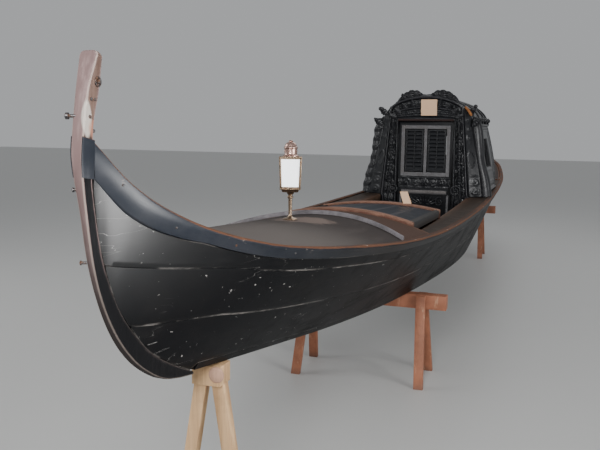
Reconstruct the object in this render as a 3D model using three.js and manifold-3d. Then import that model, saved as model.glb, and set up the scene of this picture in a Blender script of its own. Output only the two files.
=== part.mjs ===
// Traditional flat-bottomed Venetian boat with a carved passenger cabin, standing on three wooden trestles.
// Millimetres, +X towards the bow, +Y to port, +Z up. The origin is on the floor, amidships on the centreline.
// Places along the boat are given as "aft": the distance aft of the foremost point of the stem.

import * as THREE from 'three';
import { mergeVertices } from 'three/addons/utils/BufferGeometryUtils.js';
import Module from 'manifold-3d';

const wasm = await Module();
wasm.setup();

const LENGTH = 10600;
const FIT_GAP = 0.4;

// Hull
const PLANK = 22;
const BOTTOM_THICKNESS = 28;
const SIDE_BULGE = 12;
const RAIL_PROUD = 13;
const RAIL_INBOARD = 30;
const RAIL_DEPTH = 46;
const RAIL_DEPTH_AT_STEM = 100;
const RAIL_TAPER_END = 420;
const RABBET_HALF = 20;
const RABBET_END = 600;

// Decks and the well
const DECK_BELOW_RAIL = 12;
const DECK_THICKNESS = 18;
const DECK_SEAM = 3;
const DECK_START = 170;
const FORE_ARCH_AFT = 2455;
const WELL_ARCH_AFT = 3500;
const STERN_ARCH_AFT = 7600;
const ARCH_WIDTH = 44;
const ARCH_LIP = 22;
const ARCH_DEPTH = 60;
const DECK_OPENING_HALF = 425;
const FLOOR_TOP = 690;
const FLOOR_THICKNESS = 20;

// Cabin
const CABIN_FRONT = 5400;
const CABIN_BACK = 6700;
const CABIN_WALL = 30;
const FRONT_THICKNESS = 50;
const CORNER_DEPTH = 75;
const BACK_DEPTH = 36;
const EAVES_TOP = 1760;
const ROOF_TOP = 2032;
const ROOF_THICKNESS = 20;

// Door and its pair of louvred shutters
const DOOR_WIDTH = 520;
const DOOR_BOTTOM = 760;
const DOOR_TOP = 1780;
const DOOR_THICKNESS = 30;
const DOOR_GAP = 6.5;
const WINDOW_WIDTH = 400;
const WINDOW_BOTTOM = 1300;
const WINDOW_TOP = 1715;
const MULLION = 28;
const SHUTTER_GAP = 6.5;
const SHUTTER_THICKNESS = 20;
const SHUTTER_STILE = 16;
const SLAT_COUNT = 10;

// Section of the fore half of the hull; the aft half mirrors it
const SHEER = [
  // from end, half breadth, height
  [66, 24, 1658],
  [160, 64, 1547],
  [318, 130, 1443],
  [636, 257, 1331],
  [954, 362, 1274],
  [1272, 440, 1237],
  [1696, 500, 1192],
  [2120, 541, 1158],
  [2544, 572, 1134],
  [2968, 594, 1119],
  [3392, 608, 1108],
  [3816, 619, 1100],
  [4240, 627, 1094],
  [4770, 634, 1090],
  [5300, 636, 1088],
];
const CHINE = [
  // from end, half breadth, height
  [600, 20, 878],
  [954, 63, 835],
  [1272, 100, 797],
  [1696, 143, 745],
  [2120, 184, 700],
  [2544, 222, 660],
  [2968, 252, 624],
  [3392, 284, 596],
  [3816, 322, 577],
  [4240, 362, 565],
  [4770, 405, 558],
  [5300, 425, 555],
];
// Line where the planking lands on the side of the stem
const RABBET = [
  // from end, height
  [46, 1700],
  [57, 1555],
  [66, 1480],
  [80, 1395],
  [101, 1331],
  [131, 1257],
  [159, 1203],
  [224, 1126],
  [303, 1043],
  [362, 1003],
  [431, 962],
  [520, 916],
  [600, 877],
];
// Seams of the three strakes: where each starts on the rabbet, and its share of the side's height
const SEAMS = [
  { start: 590, share: 0 },
  { start: 218, share: 0.46 },
  { start: 101, share: 0.88 },
  { start: 56, share: 1 },
];
// Each strake is one plank or three lengths butted at the scarfs
const STRAKES = [
  { name: 'garboard', lengths: 3 },
  { name: 'middle_strake', lengths: 3 },
  { name: 'upper_strake', lengths: 1 },
];
const SCARFS = [WELL_ARCH_AFT - 40, STERN_ARCH_AFT + 90];
const CAMBER = [
  // from end, rise of the deck's centre over its edge
  [170, 8],
  [600, 36],
  [1600, 88],
  [2100, 102],
  [2450, 106],
  [3500, 78],
];
const STATIONS = [
  75, 90, 105, 130, 165, 205, 222, 263, 318, 390, 470, 560, 605, 720,
  900, 1130, 1400, 1750, 2150, 2600, 3100, 3650, 4250, 4800,
];

const STEM = [
  // front from end, front height, back from end, back height, front half width, back half width
  [77, 1876, 108, 1872, 28, 24],
  [47, 1790, 93, 1790, 20, 23],
  [28, 1700, 66, 1700, 18, 22],
  [17, 1625, 62, 1620, 17, 22],
  [22, 1560, 57, 1555, 14, 20],
  [37, 1475, 66, 1480, 10, 20],
  [62, 1340, 90, 1363, 9, 20],
  [98, 1231, 131, 1257, 9, 20],
  [148, 1135, 190, 1163, 11, 20],
  [209, 1056, 262, 1085, 13, 20],
  [289, 984, 345, 1014, 14, 20],
  [400, 916, 440, 957, 15, 20],
  [500, 884, 522, 915, 17, 20],
  [600, 864, 600, 876, 20, 20],
];
const STERNPOST_HEAD = [
  [72, 1800, 92, 1796, 12, 12],
  [40, 1750, 78, 1748, 16, 20],
];

// The stern half repeats the bow half's shape
const fromEnd = aft => Math.min(aft, LENGTH - aft);
const xAt = aft => LENGTH / 2 - aft;

// Smooth curve through a table's column, with slopes from the neighbouring rows
function column(table, index) {
  const rows = table.map(row => [row[0], row[index]]);
  const chord = rows.slice(1).map((row, i) => (row[1] - rows[i][1]) / (row[0] - rows[i][0]));
  const slope = rows.map((row, i) => {
    if (i === 0) return chord[0];
    if (i === rows.length - 1) return chord[i - 1];
    return (chord[i - 1] + chord[i]) / 2;
  });
  return at => {
    let i = rows.findIndex(row => row[0] >= at);
    if (i === -1) return rows[rows.length - 1][1];
    if (i === 0) return rows[0][1] + chord[0] * (at - rows[0][0]);
    i -= 1;
    const width = rows[i + 1][0] - rows[i][0];
    const s = (at - rows[i][0]) / width;
    const a = rows[i][1];
    const b = rows[i + 1][1];
    const ta = slope[i] * width;
    const tb = slope[i + 1] * width;
    return a + s * (ta + s * (3 * (b - a) - 2 * ta - tb + s * (2 * (a - b) + ta + tb)));
  };
}

const sheerHalf = column(SHEER, 1);
const sheerHeight = column(SHEER, 2);
const chineHalf = column(CHINE, 1);
const chineHeight = column(CHINE, 2);
const rabbetHeight = column(RABBET, 1);
const camberRise = column(CAMBER, 1);

function railDepth(end) {
  const s = Math.min(1, Math.max(0, (end - SHEER[0][0]) / (RAIL_TAPER_END - SHEER[0][0])));
  return RAIL_DEPTH_AT_STEM + (RAIL_DEPTH - RAIL_DEPTH_AT_STEM) * s;
}

// Outside of the planking at a height, half breadth from the centreline
function sideHalf(end, z) {
  const below = end < RABBET_END;
  const lowHalf = below ? RABBET_HALF : chineHalf(end);
  const lowZ = below ? rabbetHeight(end) : chineHeight(end);
  const s = (z - lowZ) / (sheerHeight(end) - lowZ);
  const bulge = SIDE_BULGE * Math.min(1, end / 2000) * 4 * s * (1 - s);
  return lowHalf + (sheerHalf(end) - lowHalf) * s + bulge;
}

// Height of a strake's seam
function seamHeight(seam, end) {
  const at = Math.max(end, RABBET_END);
  const low = chineHeight(at) + BOTTOM_THICKNESS + FIT_GAP;
  const high = sheerHeight(at) - railDepth(at) - FIT_GAP;
  const aftHeight = low + (high - low) * seam.share;
  if (end >= RABBET_END) return aftHeight;
  if (seam.share === 1) return sheerHeight(end) - railDepth(end) - FIT_GAP;
  const s = Math.max(0, (end - seam.start) / (RABBET_END - seam.start));
  const startHeight = rabbetHeight(seam.start);
  return startHeight + (aftHeight - startHeight) * Math.pow(s, 0.8);
}

// Closed solid through a list of sections with the same number of corners
function loft(sections) {
  const count = sections[0].length;
  const positions = sections.flat(2);
  const indices = [];
  for (let i = 0; i + 1 < sections.length; i++) {
    for (let j = 0; j < count; j++) {
      const k = (j + 1) % count;
      const a = i * count + j;
      const b = i * count + k;
      const c = a + count;
      const d = b + count;
      indices.push(a, b, d, a, d, c);
    }
  }
  const capAt = (section, offset, flip) => {
    const flat = flatten(section);
    const faces = THREE.ShapeUtils.triangulateShape(flat, []);
    for (const [a, b, c] of faces) {
      const turned = THREE.ShapeUtils.isClockWise(flat) !== flip;
      indices.push(offset + a, offset + (turned ? b : c), offset + (turned ? c : b));
    }
  };
  capAt(sections[0], 0, false);
  capAt(sections[sections.length - 1], (sections.length - 1) * count, true);
  const geometry = new THREE.BufferGeometry();
  geometry.setAttribute('position', new THREE.Float32BufferAttribute(positions, 3));
  geometry.setIndex(indices);
  return facingOut(geometry);
}

// A section's corners on its own plane, dropping the axis that varies least
function flatten(section) {
  const spread = [0, 1, 2].map(k => {
    const values = section.map(p => p[k]);
    return Math.max(...values) - Math.min(...values);
  });
  const drop = spread.indexOf(Math.min(...spread));
  const keep = [0, 1, 2].filter(k => k !== drop);
  return section.map(p => new THREE.Vector2(p[keep[0]], p[keep[1]]));
}

function volume(geometry) {
  const p = geometry.attributes.position;
  const index = geometry.index.array;
  const a = new THREE.Vector3();
  const b = new THREE.Vector3();
  const c = new THREE.Vector3();
  let sum = 0;
  for (let i = 0; i < index.length; i += 3) {
    a.fromBufferAttribute(p, index[i]);
    b.fromBufferAttribute(p, index[i + 1]);
    c.fromBufferAttribute(p, index[i + 2]);
    sum += a.dot(b.cross(c)) / 6;
  }
  return sum;
}

function facingOut(geometry) {
  if (volume(geometry) < 0) {
    const index = geometry.index.array;
    for (let i = 0; i < index.length; i += 3) [index[i + 1], index[i + 2]] = [index[i + 2], index[i + 1]];
  }
  return geometry;
}

function toSolid(geometry) {
  const plain = geometry.clone();
  plain.deleteAttribute('normal');
  plain.deleteAttribute('uv');
  const merged = mergeVertices(plain, 1e-3);
  return new wasm.Manifold(new wasm.Mesh({
    numProp: 3,
    vertProperties: new Float32Array(merged.attributes.position.array),
    triVerts: new Uint32Array(merged.index.array),
  }));
}

function fromSolid(solid) {
  const mesh = solid.getMesh();
  const geometry = new THREE.BufferGeometry();
  geometry.setAttribute('position', new THREE.BufferAttribute(mesh.vertProperties, 3));
  geometry.setIndex(new THREE.BufferAttribute(mesh.triVerts, 1));
  return geometry;
}

const joined = (first, ...others) => fromSolid(others.reduce((sum, g) => sum.add(toSolid(g)), toSolid(first)));
const cut = (body, ...tools) => fromSolid(tools.reduce((left, g) => left.subtract(toSolid(g)), toSolid(body)));

// Box between two corners given as [x, y, z]
function box(low, high) {
  const geometry = new THREE.BoxGeometry(high[0] - low[0], high[1] - low[1], high[2] - low[2]);
  return geometry.translate((low[0] + high[0]) / 2, (low[1] + high[1]) / 2, (low[2] + high[2]) / 2);
}

// Outline in the athwartships plane, given as [y, z] corners, extruded aft from a station
function transverse(outline, aft, depth, holes = []) {
  const shape = new THREE.Shape(outline.map(([y, z]) => new THREE.Vector2(y, z)));
  for (const hole of holes) shape.holes.push(new THREE.Path(hole.map(([y, z]) => new THREE.Vector2(y, z))));
  const geometry = new THREE.ExtrudeGeometry(shape, { depth, bevelEnabled: false });
  // The outline's axes become +Y and +Z, and the extrusion runs along +X
  geometry.applyMatrix4(new THREE.Matrix4().makeBasis(
    new THREE.Vector3(0, 1, 0), new THREE.Vector3(0, 0, 1), new THREE.Vector3(1, 0, 0)));
  return geometry.translate(xAt(aft) - depth, 0, 0);
}

const boat = new THREE.Group();

function finish(color, roughness, metalness = 0) {
  return { color, roughness, metalness };
}
const BLACK_PAINT = finish(0x14151a, 0.42);
const DECK_CANVAS = finish(0x4a423e, 0.7);
const HATCH_PAINT = finish(0x4b5361, 0.5);
const WORN_RED = finish(0x7a4a3a, 0.6);
const SIDE_DECK_BROWN = finish(0x57483a, 0.65);
const GREY_MOULDING = finish(0x8d8788, 0.6);
const CARVED_BLACK = finish(0x17181c, 0.4);
const INSIDE_WOOD = finish(0x3b2a20, 0.7);
const BLACK_LEATHER = finish(0x101012, 0.5);
const BRASS = finish(0x9a7a52, 0.35, 0.9);
const PANE = finish(0xe8ecf0, 0.1, 0.2);
const TRESTLE_RED = finish(0x9c5230, 0.6);
const TRESTLE_BARE = finish(0xb98e5e, 0.7);

function add(name, geometry, look) {
  const mesh = new THREE.Mesh(geometry, new THREE.MeshStandardMaterial(look));
  mesh.name = name;
  boat.add(mesh);
  return mesh;
}

const mirrorPort = geometry => {
  const copy = geometry.clone().applyMatrix4(new THREE.Matrix4().makeScale(1, -1, 1));
  return facingOut(copy);
};
function addPair(name, geometry, look) {
  add(`${name}_port`, geometry, look);
  add(`${name}_starboard`, mirrorPort(geometry), look);
}

// Stations from one end's start to the other end's, or to a given station
function stationsBetween(start, stop) {
  const fore = STATIONS.filter(s => s > start && s < Math.min(stop, LENGTH / 2));
  const aft = STATIONS.map(s => LENGTH - s).reverse().filter(s => s > Math.max(start, LENGTH / 2) && s < stop);
  const middle = start < LENGTH / 2 && stop > LENGTH / 2 ? [LENGTH / 2] : [];
  return [start, ...fore, ...middle, ...aft, stop];
}

// Stem and sternpost
function post(rows, aftOf, grow = 0, half = 0) {
  return loft(rows.map(([frontEnd, frontZ, backEnd, backZ, front, back]) => [
    [xAt(aftOf(frontEnd - grow)), -(half || front), frontZ - grow],
    [xAt(aftOf(frontEnd - grow)), half || front, frontZ - grow],
    [xAt(aftOf(backEnd)), half || back, backZ],
    [xAt(aftOf(backEnd)), -(half || back), backZ],
  ]));
}
const bowEnd = end => end;
const sternEnd = end => LENGTH - end;
const STERNPOST = [...STERNPOST_HEAD, ...STEM.slice(2)];
add('stem', post(STEM, bowEnd), BLACK_PAINT);
add('sternpost', post(STERNPOST, sternEnd), BLACK_PAINT);

// Room taken out of the planking and rails where they land on the posts
const POST_FIT = 0.7;
const postRoom = (rows, aftOf) => post(rows, aftOf, 40, 160)
  .translate(aftOf(0) === 0 ? -POST_FIT : POST_FIT, 0, POST_FIT);
const fitToPosts = geometry => cut(geometry, postRoom(STEM, bowEnd), postRoom(STERNPOST, sternEnd));

// Lengths of a run of planking from one end to the other, with a small gap at each scarf
function scarfed(lengths, start, stop) {
  if (lengths === 1) return [{ part: '', from: start, to: stop }];
  const ends = [start, ...SCARFS, stop];
  return ['_fore', '_middle', '_aft'].map((part, i) => ({
    part,
    from: ends[i] + (i > 0 ? FIT_GAP : 0),
    to: ends[i + 1],
  }));
}

// Flat bottom, planked under the sides
function bottomSection(aft) {
  const end = fromEnd(aft);
  const z = chineHeight(end);
  const half = chineHalf(end);
  const topHalf = sideHalf(end, z + BOTTOM_THICKNESS);
  return [
    [xAt(aft), -half, z],
    [xAt(aft), half, z],
    [xAt(aft), topHalf, z + BOTTOM_THICKNESS],
    [xAt(aft), -topHalf, z + BOTTOM_THICKNESS],
  ];
}
const bottomLoft = (from, to) => loft(stationsBetween(from, to).map(bottomSection));
const BOTTOM_START = RABBET_END + 5;
for (const { part, from, to } of scarfed(3, BOTTOM_START, LENGTH - BOTTOM_START)) {
  add(`bottom${part}`, bottomLoft(from, to), BLACK_PAINT);
}
const bottomWhole = bottomLoft(BOTTOM_START, LENGTH - BOTTOM_START);
const bottomRoom = [-POST_FIT, POST_FIT].map(shift => bottomWhole.clone().translate(shift, 0, FIT_GAP));

// Three strakes a side
function strakeSection(aft, low, high) {
  const end = fromEnd(aft);
  const rabbet = rabbetHeight(end);
  const bottom = end < low.start ? rabbet - 14 : seamHeight(low, end);
  const top = seamHeight(high, end) - FIT_GAP;
  const middle = (bottom + top) / 2;
  const levels = [bottom, middle, top];
  const outer = levels.map(z => [xAt(aft), sideHalf(end, z), z]);
  const inner = levels.map(z => [xAt(aft), Math.max(4, sideHalf(end, z) - PLANK), z]).reverse();
  return [...outer, ...inner];
}
STRAKES.forEach(({ name, lengths }, i) => {
  const [low, high] = [SEAMS[i], SEAMS[i + 1]];
  const start = high.start + 4;
  for (const { part, from, to } of scarfed(lengths, start, LENGTH - start)) {
    const stations = stationsBetween(from, to);
    const planking = fitToPosts(loft(stations.map(aft => strakeSection(aft, low, high))));
    addPair(`${name}${part}`, i === 0 ? cut(planking, ...bottomRoom) : planking, BLACK_PAINT);
  }
});

// Sheer rail, deep at the ends and standing proud of the planking
function railSection(aft) {
  const end = fromEnd(aft);
  const top = sheerHeight(end);
  const bottom = top - railDepth(end);
  const proud = RAIL_PROUD * Math.min(1, (end - 60) / 120);
  const outer = sheerHalf(end) + proud;
  const inner = Math.max(3, sheerHalf(end) - RAIL_INBOARD);
  return [
    [xAt(aft), inner, bottom],
    [xAt(aft), Math.max(inner + 6, sideHalf(end, bottom) + proud), bottom],
    [xAt(aft), outer, top - 6],
    [xAt(aft), outer - 6, top],
    [xAt(aft), inner, top],
  ];
}
const railStart = SHEER[0][0] - 6;
const railStations = stationsBetween(railStart, LENGTH - railStart);
addPair('sheer_rail', fitToPosts(loft(railStations.map(railSection))), BLACK_PAINT);

// Decks
const deckHalf = end => sheerHalf(end) - RAIL_INBOARD - DECK_SEAM;
const deckEdge = end => sheerHeight(end) - DECK_BELOW_RAIL;
const deckHeight = (end, y) => deckEdge(end) + camberRise(end) * (1 - (y / deckHalf(end)) ** 2);

// Arched strip across the boat between two half breadths, following the deck's camber
function archedSection(x, end, half, rise, depth, steps = 12) {
  const across = Array.from({ length: steps + 1 }, (_, i) => -half + (2 * half * i) / steps);
  const upper = across.map(y => [x, y, deckHeight(end, y) + rise]);
  const lower = [...across].reverse().map(y => [x, y, deckHeight(end, y) + rise - depth]);
  return [...upper, ...lower];
}
function camberedDeck(start, stop) {
  return loft(stationsBetween(start, stop).map(aft => {
    const end = fromEnd(aft);
    return archedSection(xAt(aft), end, deckHalf(end), 0, DECK_THICKNESS);
  }));
}
add('foredeck', camberedDeck(DECK_START, FORE_ARCH_AFT - FIT_GAP), DECK_CANVAS);
add('aft_deck', camberedDeck(STERN_ARCH_AFT + ARCH_WIDTH + FIT_GAP, LENGTH - DECK_START), DECK_CANVAS);

// Arched coaming beams at the edges of the decks
function archBeam(aft, half) {
  const end = fromEnd(aft + ARCH_WIDTH / 2);
  return loft([aft, aft + ARCH_WIDTH].map(at => archedSection(xAt(at), end, half, ARCH_LIP, ARCH_DEPTH)));
}
add('fore_arch', archBeam(FORE_ARCH_AFT, DECK_OPENING_HALF - 1), WORN_RED);
add('well_arch', archBeam(WELL_ARCH_AFT, DECK_OPENING_HALF - 1), WORN_RED);
add('stern_arch', archBeam(STERN_ARCH_AFT, DECK_OPENING_HALF - 1), WORN_RED);

// Cambered hatch cover between the two fore arches
const hatchStations = stationsBetween(FORE_ARCH_AFT + ARCH_WIDTH + FIT_GAP, WELL_ARCH_AFT - FIT_GAP);
add('hatch_cover', loft(hatchStations.map(aft =>
  archedSection(xAt(aft), fromEnd(aft), DECK_OPENING_HALF - 3, 4, 36))), HATCH_PAINT);

// Narrow moulding laid across the foredeck, bowed aft at the middle
const MOULDING_AFT = 2107;
const MOULDING_BOW = 215;
const MOULDING_WIDTH = 26;
const MOULDING_THICKNESS = 22;
function mouldingSection(share) {
  const middle = deckHalf(MOULDING_AFT);
  const y = share * (middle - 14);
  const aft = MOULDING_AFT - MOULDING_BOW * share * share;
  return [[-0.5, 0], [0.5, 0], [0.5, 1], [-0.5, 1]].map(([side, up]) => {
    const at = aft + side * MOULDING_WIDTH;
    const base = deckHeight(at, y) + 1.2;
    return [xAt(at), y, base + up * MOULDING_THICKNESS];
  });
}
const mouldingShares = Array.from({ length: 21 }, (_, i) => -0.97 + (1.94 * i) / 20);
add('foredeck_moulding', loft(mouldingShares.map(mouldingSection)), GREY_MOULDING);

// Flat side decks along the well and the cabin
function sideDeckSection(aft) {
  const end = fromEnd(aft);
  const top = deckEdge(end);
  return [
    [xAt(aft), DECK_OPENING_HALF, top - DECK_THICKNESS],
    [xAt(aft), deckHalf(end), top - DECK_THICKNESS],
    [xAt(aft), deckHalf(end), top],
    [xAt(aft), DECK_OPENING_HALF, top],
  ];
}
const sideDeckStations = stationsBetween(FORE_ARCH_AFT + FIT_GAP, STERN_ARCH_AFT + ARCH_WIDTH - FIT_GAP);
addPair('side_deck', loft(sideDeckStations.map(sideDeckSection)), SIDE_DECK_BROWN);

// Bulkheads under the arches, and the floorboards between them
const insideHalf = (end, z) => sideHalf(end, z) - PLANK - 3;
function bulkhead(aft, thickness) {
  const end = fromEnd(aft);
  const far = fromEnd(aft + thickness);
  const low = Math.max(chineHeight(end), chineHeight(far)) + BOTTOM_THICKNESS + 2;
  const half = z => Math.min(insideHalf(end, z), insideHalf(far, z));
  const shoulder = Math.min(deckEdge(end), deckEdge(far)) - DECK_THICKNESS - 2;
  const top = deckHeight(end, 0) + ARCH_LIP - ARCH_DEPTH - 2;
  const arch = [0.9, 0.6, 0.3, 0, -0.3, -0.6, -0.9].map(s => {
    const y = s * (DECK_OPENING_HALF - 20);
    return [y, deckHeight(end, y) + ARCH_LIP - ARCH_DEPTH - 4];
  }).filter(([, z]) => z > shoulder && z <= top);
  const neck = DECK_OPENING_HALF - 4;
  return transverse([[-half(low), low], [half(low), low], [half(shoulder), shoulder], [neck, shoulder],
    ...arch, [-neck, shoulder], [-half(shoulder), shoulder]], aft, thickness);
}
add('well_bulkhead', bulkhead(WELL_ARCH_AFT + 8, 24), WORN_RED);
add('stern_bulkhead', bulkhead(STERN_ARCH_AFT + 10, 24), INSIDE_WOOD);

function floorSection(aft) {
  const end = fromEnd(aft);
  const low = FLOOR_TOP - FLOOR_THICKNESS;
  const half = insideHalf(end, low) - 2;
  return [[xAt(aft), -half, low], [xAt(aft), half, low], [xAt(aft), half, FLOOR_TOP], [xAt(aft), -half, FLOOR_TOP]];
}
const floorStations = stationsBetween(WELL_ARCH_AFT + 36, STERN_ARCH_AFT + 6);
add('floorboards', loft(floorStations.map(floorSection)), INSIDE_WOOD);

// Cabin outline: half breadth of the outside at a station and height
const CABIN_SIDE = [
  // height, half breadth at the front, half breadth at the back
  [1090, 556, 575],
  [1300, 522, 566],
  [1500, 481, 531],
  [1760, 431, 466],
];
const cabinFrontHalf = column(CABIN_SIDE, 1);
const cabinBackHalf = column(CABIN_SIDE, 2);
function cabinHalf(aft, z) {
  const s = (aft - CABIN_FRONT) / (CABIN_BACK - CABIN_FRONT);
  const height = Math.min(z, EAVES_TOP);
  return cabinFrontHalf(height) * (1 - s) + cabinBackHalf(height) * s;
}
const CABIN_LEVELS = CABIN_SIDE.map(row => row[0]).slice(1);
const CABIN_FIT = 1;
const deckUnder = aft => deckEdge(fromEnd(aft)) + CABIN_FIT;

// Elliptical arch over the eaves, as [y, z] points from port to starboard
function archOver(half, rise, springing, steps = 16) {
  return Array.from({ length: steps + 1 }, (_, i) => {
    const angle = (Math.PI * i) / steps;
    return [half * Math.cos(angle), springing + rise * Math.sin(angle)];
  });
}

// Front of the cabin: a flat middle between slanted corners, with the doorway cut in it, its foot in the well
const CORNER_TAPER = 0.095;
const cornerHalf = z => DECK_OPENING_HALF - 6 - CORNER_TAPER * (z - CABIN_SIDE[0][0]);
const frontX = xAt(CABIN_FRONT);
function frontSection(z) {
  const middle = cornerHalf(z);
  const outer = cabinHalf(CABIN_FRONT, z);
  const port = [
    [frontX, middle],
    [frontX - CORNER_DEPTH, outer],
    [frontX - CORNER_DEPTH, outer - CABIN_WALL],
    [frontX - FRONT_THICKNESS, outer - CABIN_WALL - 25],
  ];
  const starboard = port.map(([x, y]) => [x, -y]).reverse();
  return [...port, ...starboard].map(([x, y]) => [x, y, z]);
}
const frontFoot = Math.max(deckUnder(CABIN_FRONT), deckUnder(CABIN_FRONT + CORNER_DEPTH)) + FIT_GAP;
const frontBlock = loft([frontFoot, ...CABIN_LEVELS, ROOF_TOP + 20].map(frontSection));
const archRise = ROOF_TOP - EAVES_TOP;
const aboveArch = transverse([
  [700, ROOF_TOP + 60],
  [700, EAVES_TOP],
  ...archOver(cabinHalf(CABIN_FRONT, EAVES_TOP), archRise, EAVES_TOP),
  [-700, EAVES_TOP],
  [-700, ROOF_TOP + 60],
], CABIN_FRONT - 20, CORNER_DEPTH + 40);
const FRONT_CLEAR = 3;
const frontApron = box(
  [frontX - FRONT_THICKNESS, -DECK_OPENING_HALF + FRONT_CLEAR, FLOOR_TOP + FIT_GAP],
  [frontX, DECK_OPENING_HALF - FRONT_CLEAR, frontFoot + 10]);
const doorwayHalf = DOOR_WIDTH / 2 + DOOR_GAP;
const doorway = box(
  [frontX - FRONT_THICKNESS - 10, -doorwayHalf, DOOR_BOTTOM - DOOR_GAP],
  [frontX + 10, doorwayHalf, DOOR_TOP + DOOR_GAP]);
add('cabin_front', cut(joined(cut(frontBlock, aboveArch), frontApron), doorway), CARVED_BLACK);

// Side walls with a window
const SHELL_FRONT = CABIN_FRONT + CORNER_DEPTH + FIT_GAP;
const SHELL_BACK = CABIN_BACK - BACK_DEPTH - FIT_GAP;
const shellStations = [0, 0.33, 0.67, 1].map(s => SHELL_FRONT + (SHELL_BACK - SHELL_FRONT) * s);
function wallSection(aft) {
  const levels = [deckUnder(aft), ...CABIN_LEVELS];
  const outer = levels.map(z => [xAt(aft), cabinHalf(aft, z), z]);
  const inner = levels.map(z => [xAt(aft), cabinHalf(aft, z) - CABIN_WALL, z]).reverse();
  return [...outer, ...inner];
}
const SIDE_WINDOW = { fore: 5900, aft: 6260, bottom: 1340, top: 1620 };
const sideWindow = box(
  [xAt(SIDE_WINDOW.aft), 300, SIDE_WINDOW.bottom],
  [xAt(SIDE_WINDOW.fore), 700, SIDE_WINDOW.top]);
addPair('cabin_side', cut(loft(shellStations.map(wallSection)), sideWindow), CARVED_BLACK);

// Arched roof
function roofSection(aft) {
  const half = cabinHalf(aft, EAVES_TOP);
  const springing = EAVES_TOP + FIT_GAP;
  const rise = ROOF_TOP - springing;
  const outer = archOver(half, rise, springing);
  const inner = archOver(half - ROOF_THICKNESS, rise - ROOF_THICKNESS, springing).reverse();
  return [...outer, ...inner].map(([y, z]) => [xAt(aft), y, z]);
}
add('cabin_roof', loft(shellStations.map(roofSection)), CARVED_BLACK);

// Back wall with a small square window
const backStation = CABIN_BACK - BACK_DEPTH;
const backFoot = Math.max(deckUnder(backStation), deckUnder(CABIN_BACK)) + FIT_GAP;
const backLevels = [backFoot, ...CABIN_LEVELS.slice(0, -1)];
const backEdge = backLevels.map(z => [cabinHalf(backStation, z), z]);
const backOutline = [
  ...backEdge,
  ...archOver(cabinHalf(backStation, EAVES_TOP), archRise, EAVES_TOP),
  ...backEdge.map(([y, z]) => [-y, z]).reverse(),
];
const backWindow = [[-130, 1430], [130, 1430], [130, 1640], [-130, 1640]];
add('cabin_back', transverse(backOutline, backStation, BACK_DEPTH, [backWindow]), CARVED_BLACK);

// Door leaf, flush with the front's inner face, with a window for each shutter
const DOOR_AFT = CABIN_FRONT + FRONT_THICKNESS - DOOR_THICKNESS;
const doorFace = xAt(DOOR_AFT);
const windowTool = (low, high) => box(
  [doorFace - DOOR_THICKNESS - 10, low, WINDOW_BOTTOM],
  [doorFace + 10, high, WINDOW_TOP]);
add('cabin_door', cut(
  box([doorFace - DOOR_THICKNESS, -DOOR_WIDTH / 2, DOOR_BOTTOM], [doorFace, DOOR_WIDTH / 2, DOOR_TOP]),
  windowTool(MULLION / 2, WINDOW_WIDTH / 2),
  windowTool(-WINDOW_WIDTH / 2, -MULLION / 2)), CARVED_BLACK);

// Louvred shutter: frame, tilted slats and a centre stick
function shutter() {
  const low = MULLION / 2 + SHUTTER_GAP;
  const high = WINDOW_WIDTH / 2 - SHUTTER_GAP;
  const bottom = WINDOW_BOTTOM + SHUTTER_GAP;
  const top = WINDOW_TOP - SHUTTER_GAP;
  const frame = transverse(
    [[low, bottom], [high, bottom], [high, top], [low, top]],
    DOOR_AFT, SHUTTER_THICKNESS,
    [[
      [low + SHUTTER_STILE, bottom + SHUTTER_STILE],
      [high - SHUTTER_STILE, bottom + SHUTTER_STILE],
      [high - SHUTTER_STILE, top - SHUTTER_STILE],
      [low + SHUTTER_STILE, top - SHUTTER_STILE],
    ]]);
  const pitch = (top - bottom - 2 * SHUTTER_STILE) / SLAT_COUNT;
  const slats = Array.from({ length: SLAT_COUNT }, (_, i) => {
    const z = bottom + SHUTTER_STILE + pitch * (i + 0.5);
    return new THREE.BoxGeometry(5, high - low - 2 * SHUTTER_STILE + 4, pitch * 0.95)
      .rotateY(0.55)
      .translate(doorFace - SHUTTER_THICKNESS / 2, (low + high) / 2, z);
  });
  const stick = box(
    [doorFace - 7, (low + high) / 2 - 6, bottom + 6],
    [doorFace - 1, (low + high) / 2 + 6, top - 6]);
  return joined(frame, ...slats, stick);
}
addPair('shutter', shutter(), CARVED_BLACK);

// Carved cresting on the front's arch: a low strip with a hump on each side
const CREST_REACH = 300;
const CREST_STRIP = 8;
const CREST_HUMP = { y: 160, half: 112, rise: 62 };
const CREST_THICKNESS = 30;
function crestTop(y) {
  const s = (Math.abs(y) - CREST_HUMP.y) / CREST_HUMP.half;
  return CREST_STRIP + (Math.abs(s) < 1 ? CREST_HUMP.rise * (1 - s * s) : 0);
}
const archHeight = y => EAVES_TOP + archRise * Math.sqrt(1 - (y / cabinHalf(CABIN_FRONT, EAVES_TOP)) ** 2);
const crestPlaces = Array.from({ length: 49 }, (_, i) => CREST_REACH * (1 - i / 24));
add('cresting', transverse([
  ...crestPlaces.map(y => [y, archHeight(y) + crestTop(y)]),
  ...[...crestPlaces].reverse().map(y => [y, archHeight(y) + 2]),
], CABIN_FRONT + 6, CREST_THICKNESS), CARVED_BLACK);

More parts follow.
